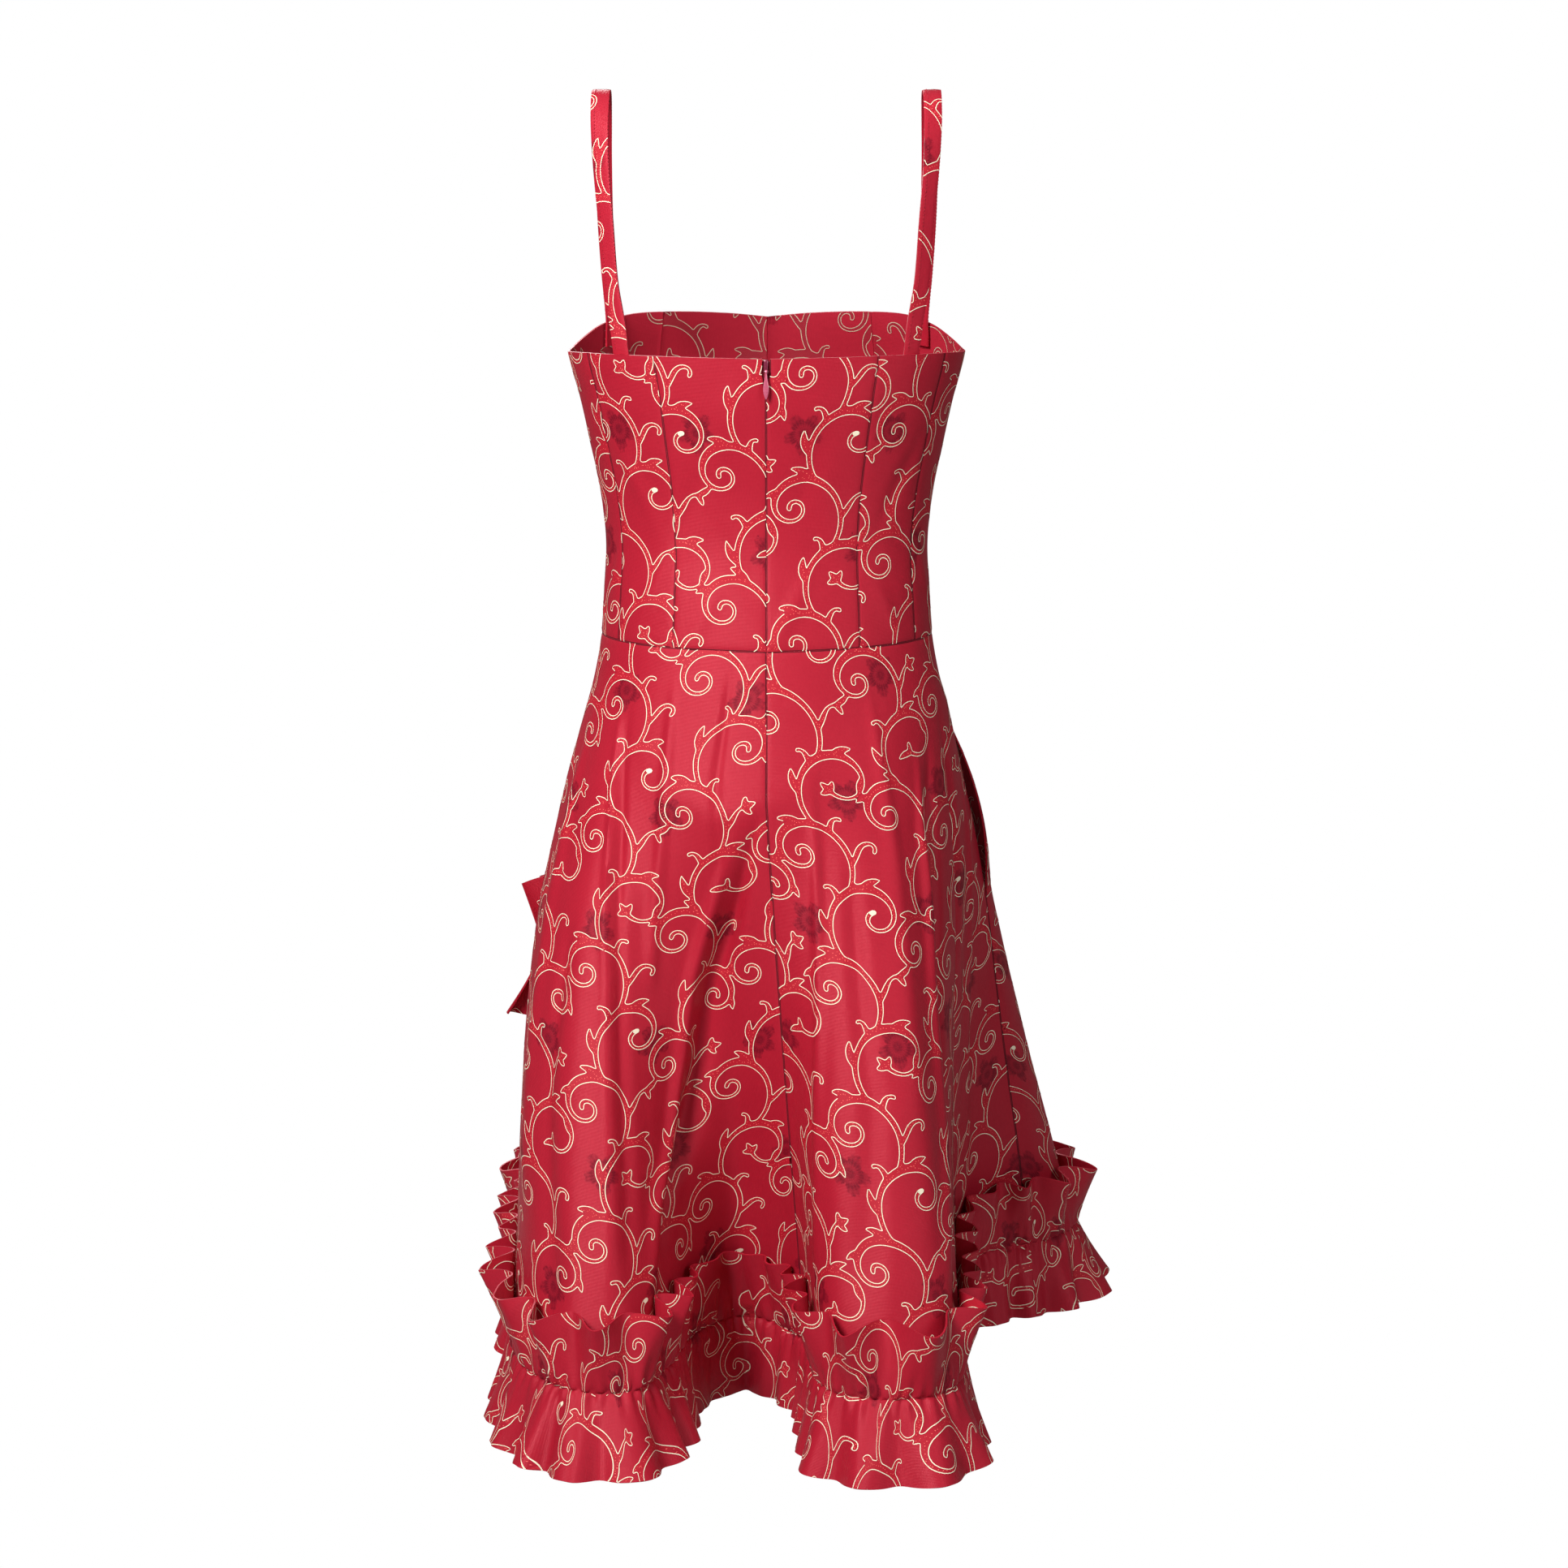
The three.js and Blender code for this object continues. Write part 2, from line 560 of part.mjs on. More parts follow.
// The right strap's middle line from the back root over the shoulder, and the turn of its width about the
// vertical, in degrees.
const crownZ = STRAP.thick / 2;
const STRAP_PATH = [
  sewnIn(BACK_ROOT, -216, ROOT_EASE.back),
  sewnIn(BACK_ROOT, -208, ROOT_EASE.back),
  sewnIn(BACK_ROOT, -200, ROOT_EASE.back),
  { x: 114, y: -64, z: -178, turn: 32 },
  { x: 119.5, y: -60, z: -145, turn: 34 },
  { x: 123, y: -54, z: -100, turn: 36 },
  { x: 127, y: -43, z: -55, turn: 32 },
  { x: 128.5, y: -30, z: -22, turn: 20 },
  { x: 128.5, y: -14, z: crownZ - 4, turn: 8 },
  { x: 128.5, y: 0, z: crownZ, turn: 0 },
  { x: 128.5, y: 14, z: crownZ - 4, turn: -8 },
  { x: 129, y: 30, z: -22, turn: -18 },
  { x: 129.5, y: 43, z: -55, turn: -28 },
  { x: 129, y: 52, z: -100, turn: -36 },
  { x: 127, y: 57, z: -140, turn: -40 },
  sewnIn(FRONT_ROOT, -178, ROOT_EASE.front),
  sewnIn(FRONT_ROOT, -188, ROOT_EASE.front),
  sewnIn(FRONT_ROOT, -198, ROOT_EASE.front),
];
const strapLine = new THREE.CatmullRomCurve3(STRAP_PATH.map((row) => new THREE.Vector3(row.x, row.y, row.z)));
const strapTurns = STRAP_PATH.map((row, i) => ({ at: i / (STRAP_PATH.length - 1), turn: row.turn }));
const strapTurn = through(strapTurns, "at", "turn");

function strapAt(hand, across, along) {
  const at = strapLine.getPoint(along);
  const run = strapLine.getTangent(along);
  const turn = rad(strapTurn(along));
  const width = new THREE.Vector3(Math.cos(turn), Math.sin(turn), 0);
  width.addScaledVector(run, -width.dot(run)).normalize();
  at.addScaledVector(width, (across - 0.5) * STRAP.width);
  at.x *= hand;
  return at;
}
add("strap_right", clothWall((across, along) => strapAt(1, across, along), 1, STRAP_STEPS, STRAP.thick));
add("strap_left", clothWall((across, along) => strapAt(-1, 1 - across, along), 1, STRAP_STEPS, STRAP.thick));

// ---- Zip ----

// The closed tape runs inside the centre back, 0.3 mm behind the cloth.
add(
  "zip_tape",
  clothWall(
    (across, along) => {
      const z = lerp(ZIP.bottom, neckZ(0) - ZIP.belowTop, along);
      const share = ((across - 0.5) * TAPE.width) / WAIST_GIRTH;
      const p = bodyAt(wrapShare(share), z);
      const cloth = z > waistZ(0) ? BODICE_CLOTH : Math.max(SKIRT_CLOTH, BODICE_CLOTH);
      p.y += cloth / 2 + SEAM_GAP + TAPE.thick / 2 + TAPE.ease;
      return p;
    },
    TAPE.stepsAcross,
    TAPE.stepsAlong,
    TAPE.thick,
  ),
  tape,
);

// The slider sits in the notch, in front of the tape, with a crossbar that the pull turns on.
const SLIDER = { width: 3.9, height: 10, thick: 2.4, top: neckZ(0) - 0.5, seatZ: 4, seatDepth: 0.2 };
const LUG = { width: 0.8, depth: 2.8, height: 2.2, standsOut: 0.9 };
const BAR = { radius: 0.45, shortBy: 0.4, standsOut: 1.6, below: 9, sides: 10 };
const sliderY = -(bodiceBack(SLIDER.top - SLIDER.seatZ) - BODICE_CLOTH / 2) + SLIDER.seatDepth;
const PIVOT = { y: sliderY - SLIDER.thick - BAR.standsOut, z: SLIDER.top - BAR.below };

function block(width, depth, height, x, y, z) {
  return new THREE.BoxGeometry(width, depth, height).translate(x, y, z);
}
const bodyY = sliderY - SLIDER.thick / 2;
const bodyZ = SLIDER.top - SLIDER.height / 2;
const lugX = (SLIDER.width - LUG.width) / 2;
const lugY = sliderY - SLIDER.thick - LUG.standsOut;
const lug = (x) => block(LUG.width, LUG.depth, LUG.height, x, lugY, PIVOT.z);
const bar = new THREE.CylinderGeometry(BAR.radius, BAR.radius, SLIDER.width - BAR.shortBy, BAR.sides);
bar.rotateZ(Math.PI / 2).translate(0, PIVOT.y, PIVOT.z);
add(
  "zip_slider",
  joined(
    block(SLIDER.width, SLIDER.thick, SLIDER.height, 0, bodyY, bodyZ),
    lug(lugX),
    lug(-lugX),
    bar,
  ),
  enamel,
);

// The pull is a drop-shaped leaf hanging from an eye round the bar.
const PULL = { thick: 1.2, eye: 1.45, bore: 0.75, eyeWidth: 2, eyeSteps: 8, leafSteps: 5 };
const LEAF = { neck: 0.8, top: -1.05, half: 1.9, widest: -12.5, tip: -21 };
// Handles of the leaf's curves: from the neck, above and below the widest place, and beside the tip.
const HANDLE = { neckX: 1, neckZ: -5, aboveWidest: -8, belowWidest: -16.5, tipX: 1.2 };
const eyeShape = new THREE.Shape().absarc(0, 0, PULL.eye, 0, TURN, false);
eyeShape.holes.push(new THREE.Path().absarc(0, 0, PULL.bore, 0, TURN, true));
const plate = (shape, depth, curveSegments) =>
  new THREE.ExtrudeGeometry(shape, { depth, bevelEnabled: false, curveSegments });
const eye = plate(eyeShape, PULL.eyeWidth, PULL.eyeSteps);
eye.translate(0, 0, -PULL.eyeWidth / 2).rotateY(Math.PI / 2).translate(0, PIVOT.y, PIVOT.z);
const leafShape = new THREE.Shape()
  .moveTo(-LEAF.neck, LEAF.top)
  .lineTo(LEAF.neck, LEAF.top)
  .bezierCurveTo(HANDLE.neckX, HANDLE.neckZ, LEAF.half, HANDLE.aboveWidest, LEAF.half, LEAF.widest)
  .bezierCurveTo(LEAF.half, HANDLE.belowWidest, HANDLE.tipX, LEAF.tip, 0, LEAF.tip)
  .bezierCurveTo(-HANDLE.tipX, LEAF.tip, -LEAF.half, HANDLE.belowWidest, -LEAF.half, LEAF.widest)
  .bezierCurveTo(-LEAF.half, HANDLE.aboveWidest, -HANDLE.neckX, HANDLE.neckZ, -LEAF.neck, LEAF.top);
const leaf = plate(leafShape, PULL.thick, PULL.leafSteps);
leaf.translate(0, 0, -PULL.thick / 2).rotateX(Math.PI / 2).translate(0, PIVOT.y, PIVOT.z);
add("zip_pull", joined(eye, leaf), enamel);

export default dress;
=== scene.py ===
# %% [markdown]
# # A scroll-patterned brocade dirndl
# The dress keeps the hollow shape of a wearer who isn't there. Its solids were worked out beforehand as plain
# cloth walls. Here each wall is made again as finer cloth, from the same sizes, and then gets what a maker adds:
# the woven scrolls, seams, gathers, stitching and the zip.

# %% Load the frame
import math
import bpy
import numpy as np
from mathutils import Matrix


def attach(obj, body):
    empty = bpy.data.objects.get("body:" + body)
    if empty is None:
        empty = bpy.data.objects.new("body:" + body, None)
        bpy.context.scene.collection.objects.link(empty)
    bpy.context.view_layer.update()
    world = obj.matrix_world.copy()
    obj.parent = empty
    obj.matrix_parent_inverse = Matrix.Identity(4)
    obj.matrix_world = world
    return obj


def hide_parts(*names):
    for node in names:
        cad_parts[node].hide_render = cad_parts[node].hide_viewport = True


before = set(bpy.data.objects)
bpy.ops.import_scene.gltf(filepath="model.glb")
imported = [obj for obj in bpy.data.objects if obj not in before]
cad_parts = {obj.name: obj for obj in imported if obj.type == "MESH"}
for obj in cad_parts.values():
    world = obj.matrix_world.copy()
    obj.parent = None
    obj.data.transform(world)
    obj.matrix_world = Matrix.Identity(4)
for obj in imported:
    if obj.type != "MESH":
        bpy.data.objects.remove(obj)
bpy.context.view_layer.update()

MM = 0.001  # tables below are in millimetres, as a pattern cutter writes them

# %% [markdown]
# ## Camera
# A long lens from the wearer's back, a little above the dress and tipped down. The lens keeps the waist and the
# hem in proportion, as a studio lens does.

# %% Camera
eye = bpy.data.cameras.new("camera")
eye.lens = 75
eye.sensor_width = 36
camera = bpy.data.objects.new("camera", eye)
camera.location = (0.0137, -2.600, -0.066)
camera.rotation_euler = (math.radians(79.5), 0, 0)
bpy.context.scene.collection.objects.link(camera)
bpy.context.scene.camera = camera
print("camera", tuple(round(v, 3) for v in camera.location))

# %% [markdown]
# ## Smooth curves through short tables
# Every form here is a table of a few rows, such as the half width of the bodice at nine heights. One helper turns
# two columns into a smooth function, so a size can be changed in its row without touching anything else.

# %% Curve through a table
def through(keys, values):
    """A smooth function through the rows of a table, level outside its ends."""
    order = np.argsort(keys)
    k, v = np.array(keys, float)[order], np.array(values, float)[order]
    last = len(k) - 1
    slope = np.array([(v[min(i + 1, last)] - v[max(i - 1, 0)]) / (k[min(i + 1, last)] - k[max(i - 1, 0)])
                      for i in range(last + 1)])

    def at(x):
        x = np.clip(x, k[0], k[-1])
        i = np.clip(np.searchsorted(k, x, side="left") - 1, 0, last - 1)
        span = k[i + 1] - k[i]
        t = (x - k[i]) / span
        return ((2 * t**3 - 3 * t**2 + 1) * v[i] + (t**3 - 2 * t**2 + t) * span * slope[i]
                + (3 * t**2 - 2 * t**3) * v[i + 1] + (t**3 - t**2) * span * slope[i + 1])
    return at


def columns(rows, *names):
    """Turns rows of numbers into smooth functions of the first column, one for each further name."""
    table = np.array(rows, float)
    return {name: through(table[:, 0], table[:, i + 1]) for i, name in enumerate(names)}


def unit(v):
    return v / np.maximum(np.linalg.norm(v, axis=-1, keepdims=True), 1e-9)


def lerp(a, b, t):
    return a + (b - a) * t


print("half way from 2 to 4 is", lerp(2, 4, .5))

# %% [markdown]
# ## The bodice's form
# A bodice is a set of flat panels whose seams take in the waist and let out the bust. Rings of half widths and
# depths give the same form, with a soft swelling in front where the cups are.

# %% Bodice form
SEAM_GAP = 0.3
BODICE_CLOTH, SKIRT_CLOTH, RUFFLE_CLOTH = 1.6, 1.2, 1.4
bodice = columns([  # height, half width, depth behind, depth in front
    (-440, 134, 96, 95), (-425, 132, 94, 93), (-390, 129.5, 89, 89), (-350, 127.5, 84, 86),
    (-310, 131.5, 85, 90), (-270, 139.5, 90, 97), (-235, 147, 95, 102), (-200, 156, 98, 101), (-165, 159, 101, 97),
], "side", "back", "front")
CUP = dict(at=math.radians(146), spread=math.radians(27), z=-226, height=36, depth=15)
neck_height = columns([  # degrees from centre back, height
    (0, -201), (35, -199.5), (62, -199), (90, -199.5), (101, -197.5), (112, -191), (124, -181), (136, -174),
    (152, -172.5), (168, -174), (180, -177)], "z")["z"]
waist_height = columns([(0, -426.5), (45, -425), (90, -423), (180, -421)], "z")["z"]
BACK_PRINCESS, SIDE_SEAM, FRONT_PRINCESS = (math.radians(a) for a in (33.5, 62.5, 148))


print("waist half width %.0f mm" % bodice["side"](-350))

# %% Bodice surface
def from_centre_back(angle):
    """How far round an angle lies from centre back, the same on both sides."""
    return np.arccos(np.clip(np.cos(angle), -1, 1))


def neck_z(angle):
    return neck_height(np.degrees(from_centre_back(angle)))


def waist_z(angle):
    return waist_height(np.degrees(from_centre_back(angle)))


def bodice_at(angle, z):
    """A point of the bodice at an angle from centre back towards the wearer's right."""
    angle, z = np.broadcast_arrays(np.asarray(angle, float), np.asarray(z, float))
    depth = np.where(np.cos(angle) > 0, bodice["back"](z), bodice["front"](z))
    cup = CUP["depth"] * np.exp(-((from_centre_back(angle) - CUP["at"]) / CUP["spread"])**2
                                - ((z - CUP["z"]) / CUP["height"])**2)
    return np.stack([(bodice["side"](z) + cup) * np.sin(angle), -(depth + cup) * np.cos(angle), z], -1)


print("neckline at centre back %.0f mm" % neck_z(0))

# %% Girth of the waist
def passed_along(line):
    """The length passed at each point of a line."""
    return np.concatenate([[0], np.cumsum(np.linalg.norm(np.diff(line, axis=0), axis=1))])


WAIST_Z = -426.5
ring_angles = np.linspace(0, 2 * np.pi, 721)
girth_passed = passed_along(bodice_at(ring_angles, WAIST_Z))
WAIST_GIRTH = girth_passed[-1]


def angle_at(share):
    """The angle at which a share of the waist's girth has been passed."""
    turns = np.floor(share)
    return np.interp((share - turns) * WAIST_GIRTH, girth_passed, ring_angles) + turns * 2 * np.pi


print("waist girth %.0f mm" % WAIST_GIRTH)

# %% [markdown]
# ## The skirt's form
# The skirt starts as a smooth flared ring at the waist and falls into deep uneven folds at the hem. The folded hem
# is one closed curve through named crowns and hollows. Between waist and hem each line of cloth leaves the smooth
# ring where its fold starts.

# %% Skirt form
ring = columns([  # height, left, right, back, front
    (-415, 131.5, 131.5, 93, 92), (-426, 132, 132, 94, 93), (-458, 138, 138, 101, 99), (-484, 145, 146, 107, 105),
    (-537, 160, 164, 121, 118), (-591, 173, 180, 136, 133), (-645, 185, 192, 151, 149), (-726, 195, 206, 175, 172),
    (-809, 200, 221, 199, 194), (-865, 202, 232, 214, 208), (-990, 206, 254, 246, 238),
], "left", "right", "back", "front")
HEM = [  # x, y, height where the fold starts, how freely the ruffle stands out there
    (31, -112, -540, .5), (38, -180, -530, .75), (50, -228, -500, .95), (94, -249, -480, 1),      # right back fold
    (137, -233, -470, 1), (151, -182, -460, .8), (150, -105, -460, .7), (150, -28, -470, .6),
    (163, 34, -480, .45), (200, 66, -480, .7), (240, 86, -470, .95), (264, 122, -460, 1),         # right side fold
    (256, 178, -470, 1), (220, 224, -500, .9), (160, 234, -540, .6), (100, 254, -540, 1),
    (38, 242, -560, .7), (-26, 256, -560, 1), (-88, 236, -560, .6), (-150, 242, -540, 1),         # front
    (-200, 204, -520, 1), (-216, 142, -500, .9), (-200, 84, -560, .7), (-207, 22, -560, .9),
    (-198, -44, -600, .8), (-201, -116, -560, .9), (-187, -186, -500, 1), (-146, -233, -480, 1),  # left back fold
    (-104, -232, -500, .95), (-78, -176, -520, .75), (-58, -98, -540, .4), (-18, -56, -550, .28),
]
FOLD_GROWTH = 1.08
gather_z = columns([(0, -979), (.2, -972), (.28, -961), (.5, -961), (.7, -966), (.85, -976), (1, -979)], "z")["z"]
SKIRT_SIDE_SEAM = 0.285
POCKET = dict(top=-490, bottom=-650, opens=9, width=.035)
BETWEEN_ROWS = 24  # points worked out for each row of the hem


print("crowns and hollows of the hem", len(HEM))

# %% A curve through points
def spline(points, t, closed):
    """A centripetal Catmull-Rom curve through points, at t from 0 to 1."""
    points, t = np.asarray(points, float), np.atleast_1d(t)
    count = len(points)
    p = (count if closed else count - 1) * np.clip(t, 0, 1)
    if closed:
        i = np.floor(p).astype(int)
        w = p - i
        q = [points[(i + k) % count] for k in (-1, 0, 1, 2)]
    else:
        i = np.minimum(np.floor(p).astype(int), count - 2)
        w = p - i
        ends = np.vstack([2 * points[0] - points[1], points, 2 * points[-1] - points[-2]])
        q = [ends[i + k] for k in (0, 1, 2, 3)]
    d = [np.maximum(np.linalg.norm(q[k + 1] - q[k], axis=1), 1e-6)[:, None] ** 0.5 for k in range(3)]
    t1 = ((q[1] - q[0]) / d[0] - (q[2] - q[0]) / (d[0] + d[1]) + (q[2] - q[1]) / d[1]) * d[1]
    t2 = ((q[2] - q[1]) / d[1] - (q[3] - q[1]) / (d[1] + d[2]) + (q[3] - q[2]) / d[2]) * d[1]
    w = w[:, None]
    return q[1] + t1 * w + (-3 * q[1] + 3 * q[2] - 2 * t1 - t2) * w**2 + (2 * q[1] - 2 * q[2] + t1 + t2) * w**3


print("a curve through", len(HEM), "rows has", len(HEM) * BETWEEN_ROWS, "steps")

# %% Folded hem line
hem_line = np.array([row[:2] for row in HEM], float)
hem_t = np.linspace(0, 1, len(HEM) * BETWEEN_ROWS + 1)
hem_passed = passed_along(spline(hem_line, hem_t, True))
HEM_LENGTH = hem_passed[-1]
row_share = hem_passed[::BETWEEN_ROWS] / HEM_LENGTH
fold_start = through(row_share, [r[2] for r in HEM] + [HEM[0][2]])
ruffle_stand = through(row_share, [r[3] for r in HEM] + [HEM[0][3]])


print("rows of the hem at shares", np.round(row_share[:4], 3))

# %% Skirt surface
def skirt_ring(angle, z):
    """A point of the smooth flared ring, before the folds."""
    side = np.where(np.sin(angle) > 0, ring["right"](z), ring["left"](z))
    depth = np.where(np.cos(angle) > 0, ring["back"](z), ring["front"](z))
    return np.stack([side * np.sin(angle), -depth * np.cos(angle), z + 0 * angle], -1)


def skirt_at(share, z):
    """A point of the skirt at a share of the girth from centre back towards the wearer's right."""
    share, z = np.broadcast_arrays(np.asarray(share, float), np.asarray(z, float))
    u = share - np.floor(share)
    angle = angle_at(u)
    folded = spline(hem_line, np.interp(u.ravel() * HEM_LENGTH, hem_passed, hem_t), True).reshape(u.shape + (2,))
    smooth = skirt_ring(angle, gather_z(u))
    grown = np.clip((fold_start(u) - z) / (fold_start(u) - gather_z(u)), 0, 1.1) ** FOLD_GROWTH
    p = skirt_ring(angle, z)
    p[..., :2] += (folded - smooth[..., :2]) * grown[..., None]
    return p


def skirt_frame(share, z, near=.0015, step=6):
    """The point, the level direction out of the skirt, up along it, and across."""
    across = skirt_at(share + near, z) - skirt_at(share - near, z)
    out = unit(np.stack([across[..., 1], -across[..., 0], 0 * across[..., 0]], -1))
    up = unit(skirt_at(share, z + step) - skirt_at(share, z - step))
    return skirt_at(share, z), out, up, unit(across)


print("hem length %.0f mm" % HEM_LENGTH)

# %% [markdown]
# ## Cloth with a flat pattern
# Each panel was cut flat and only then took its form. So every point of a panel is given two places: where it is in
# space, and where it lay on the flat cloth, measured across and up from the grain line in the middle. A woven
# pattern is drawn on the flat cloth and carried over, so it bends with the cloth and is cut off at the seams.

# %% Cloth grids
class Cloth:
    """A grid of cloth: middle surface, normals, and each point's place on the flat cut."""

    def __init__(self, middle, thickness):
        self.mid = middle
        rows = np.gradient(middle, axis=0)
        ups = np.gradient(middle, axis=1)
        self.normal = unit(np.cross(rows, ups))
        self.half = thickness / 2
        steps = np.linalg.norm(np.diff(middle, axis=0), axis=2)
        passed = np.vstack([np.zeros(middle.shape[1]), np.cumsum(steps, axis=0)])
        grain = middle.shape[0] // 2
        self.s = passed - passed[grain]
        self.t = passed_along(middle[grain])

    def part(self, columns):
        """Some of the columns, with the places that they have in the whole."""
        part = object.__new__(Cloth)
        part.mid, part.normal, part.half = self.mid[:, columns], self.normal[:, columns], self.half
        part.s, part.t = self.s[:, columns], self.t[columns]
        return part

    def surface(self, side):
        return self.mid + self.normal * self.half * side

    def inside(self, s, t):
        """How far a flat place lies inside the cut, in mm; below 0 outside."""
        low, high = np.interp(t, self.t, self.s[0]), np.interp(t, self.t, self.s[-1])
        return np.minimum(np.minimum(s - low, high - s), np.minimum(t - self.t[0], self.t[-1] - t))

    def place(self, s, t, lift, side=1):
        """Carries flat places onto the outer (1) or inner (-1) face, lifted off it."""
        t = np.clip(t, self.t[0], self.t[-1] - 1e-6)
        j = np.clip(np.searchsorted(self.t, t, side="right") - 1, 0, len(self.t) - 2)
        f = (t - self.t[j]) / (self.t[j + 1] - self.t[j])
        low, high = np.zeros(len(s), int), np.full(len(s), self.s.shape[0] - 1)
        while (high - low > 1).any():
            middle = (low + high) // 2
            right = lerp(self.s[middle, j], self.s[middle, j + 1], f) <= s
            low, high = np.where(right, middle, low), np.where(right, high, middle)
        at_low, at_high = (lerp(self.s[k, j], self.s[k, j + 1], f) for k in (low, high))
        g = np.clip((s - at_low) / np.maximum(at_high - at_low, 1e-9), 0, 1)[:, None]
        f = f[:, None]

        def on_facets(v):
            a, b, c, d = v[low, j], v[high, j], v[high, j + 1], v[low, j + 1]
            return np.where(g >= f, a + g * (b - a) + f * (c - b), a + f * (d - a) + g * (c - d))
        return on_facets(self.surface(side)) + unit(on_facets(self.normal)) * lift * side

    def area(self):
        a = np.diff(self.mid, axis=0)[:, :-1]
        b = np.diff(self.mid, axis=1)[:-1]
        return np.linalg.norm(np.cross(a, b), axis=2).sum()


print("cloth thicknesses", BODICE_CLOTH, SKIRT_CLOTH, RUFFLE_CLOTH)

# %% Mesh objects
def new_object(name, verts, faces, materials=(), uv=None, face_material=None):
    """A mesh object from millimetre points, riding on the dress."""
    mesh = bpy.data.meshes.new(name)
    mesh.from_pydata((np.asarray(verts) * MM).tolist(), [], [tuple(map(int, face)) for face in faces])
    for material in materials:
        mesh.materials.append(material)
    if uv is not None:
        layer = mesh.uv_layers.new(name="cloth")
        corner = np.empty(len(mesh.loops), int)
        mesh.loops.foreach_get("vertex_index", corner)
        layer.data.foreach_set("uv", (np.asarray(uv)[corner] * MM).ravel())
    if face_material is not None:
        mesh.polygons.foreach_set("material_index", np.asarray(face_material, int))
    mesh.shade_smooth()
    made = bpy.data.objects.new(name, mesh)
    bpy.context.scene.collection.objects.link(made)
    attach(made, "dress")
    return made


print("points are taken in units of", MM, "m")

# %% Closed shells
SHARP = math.radians(50)  # edges bent further than this are shaded as corners


def cloth_object(name, cloth, material, reverse=None):
    """A closed thin shell: outer face, inner face and the turned edges between them."""
    ni, nj = cloth.mid.shape[:2]
    verts = np.vstack([cloth.surface(1).reshape(-1, 3), cloth.surface(-1).reshape(-1, 3)])
    i, j = np.meshgrid(np.arange(ni - 1), np.arange(nj - 1), indexing="ij")
    a = (i * nj + j).ravel()
    inner = ni * nj
    outer_faces = np.vstack([np.stack([a, a + nj, a + nj + 1], 1), np.stack([a, a + nj + 1, a + 1], 1)])
    inner_faces = outer_faces[:, ::-1] + inner
    rim = []
    for k in range(ni - 1):
        low, high = k * nj, k * nj + nj - 1
        rim += [(low, inner + low, inner + low + nj), (low, inner + low + nj, low + nj)]
        rim += [(high, high + nj, inner + high + nj), (high, inner + high + nj, inner + high)]
    for first in range(nj - 1):
        last = (ni - 1) * nj + first
        rim += [(first, first + 1, inner + first + 1), (first, inner + first + 1, inner + first)]
        rim += [(last, inner + last, inner + last + 1), (last, inner + last + 1, last + 1)]
    flat = np.stack([cloth.s, np.broadcast_to(cloth.t, cloth.s.shape)], -1).reshape(-1, 2)
    finish = np.zeros(len(outer_faces) * 2 + len(rim), int)
    if reverse:
        finish[len(outer_faces):2 * len(outer_faces)] = 1
    made = new_object(name, verts, np.vstack([outer_faces, inner_faces, rim]), [material] + [reverse] * bool(reverse),
                      np.vstack([flat, flat]), finish)
    made.data.set_sharp_from_angle(angle=SHARP)
    return made


print("cloth grids ready")

# %% [markdown]
# ## Woven detail that several finishes share
# Brocade is a satin ground with fine floats across it. Two effects are used by more than one material, so each is a
# node group: the fine satin weave with its slubs, and a tonal flower woven into the ground in a darker tone. Both
# read the cloth's own flat measure, so they lie along the grain of each panel.

# %% Node helpers
def srgb(r, g, b):
    """A colour from the 0 to 255 values that a dyer's swatch would give."""
    def linear(c):
        c /= 255
        return c / 12.92 if c <= 0.04045 else ((c + 0.055) / 1.055) ** 2.4
    return (linear(r), linear(g), linear(b), 1)


class Nodes:
    """A short way to add nodes to a tree and wire them."""

    def __init__(self, tree):
        self.tree = tree

    def add(self, kind, inputs=(), **settings):
        node = self.tree.nodes.new(kind)
        for key, value in settings.items():
            setattr(node, key, value)
        for key, value in dict(inputs).items():
            if isinstance(value, bpy.types.NodeSocket):
                self.link(value, node.inputs[key])
            else:
                node.inputs[key].default_value = value
        return node

    def link(self, output, socket):
        self.tree.links.new(output, socket)

    def math(self, operation, a, b=0.0, c=0.0):
        return self.add("ShaderNodeMath", {0: a, 1: b, 2: c}, operation=operation).outputs[0]

    def plus(self, a, b):
        return self.math("ADD", a, b)

    def times(self, a, b):
        return self.math("MULTIPLY", a, b)

    def scaled(self, a, factor, added):
        return self.math("MULTIPLY_ADD", a, factor, added)

    def split(self, vector):
        return self.add("ShaderNodeSeparateXYZ", {0: vector}).outputs

    def mix(self, factor, a, b):
        node = self.add("ShaderNodeMix", {0: factor, 6: a, 7: b}, data_type="RGBA")
        return node.outputs[2]

    def noise(self, vector, scale, detail=2.0, rough=0.5):
        return self.add("ShaderNodeTexNoise", {"Vector": vector, "Scale": scale, "Detail": detail,
                                               "Roughness": rough}).outputs["Fac"]

    def bump(self, strength, distance, height):
        return self.add("ShaderNodeBump", {"Strength": strength, "Distance": distance, "Height": height}).outputs[0]


def group(name, inputs, outputs):
    """A new node group with named sockets, and its inner ends."""
    tree = bpy.data.node_groups.new(name, "ShaderNodeTree")
    for label, kind in inputs:
        tree.interface.new_socket(label, in_out="INPUT", socket_type=kind)
    for label, kind in outputs:
        tree.interface.new_socket(label, in_out="OUTPUT", socket_type=kind)
    nodes = Nodes(tree)
    return tree, nodes, nodes.add("NodeGroupInput").outputs, nodes.add("NodeGroupOutput").inputs


print("a dyer's red is", [round(c, 3) for c in srgb(188, 34, 53)])

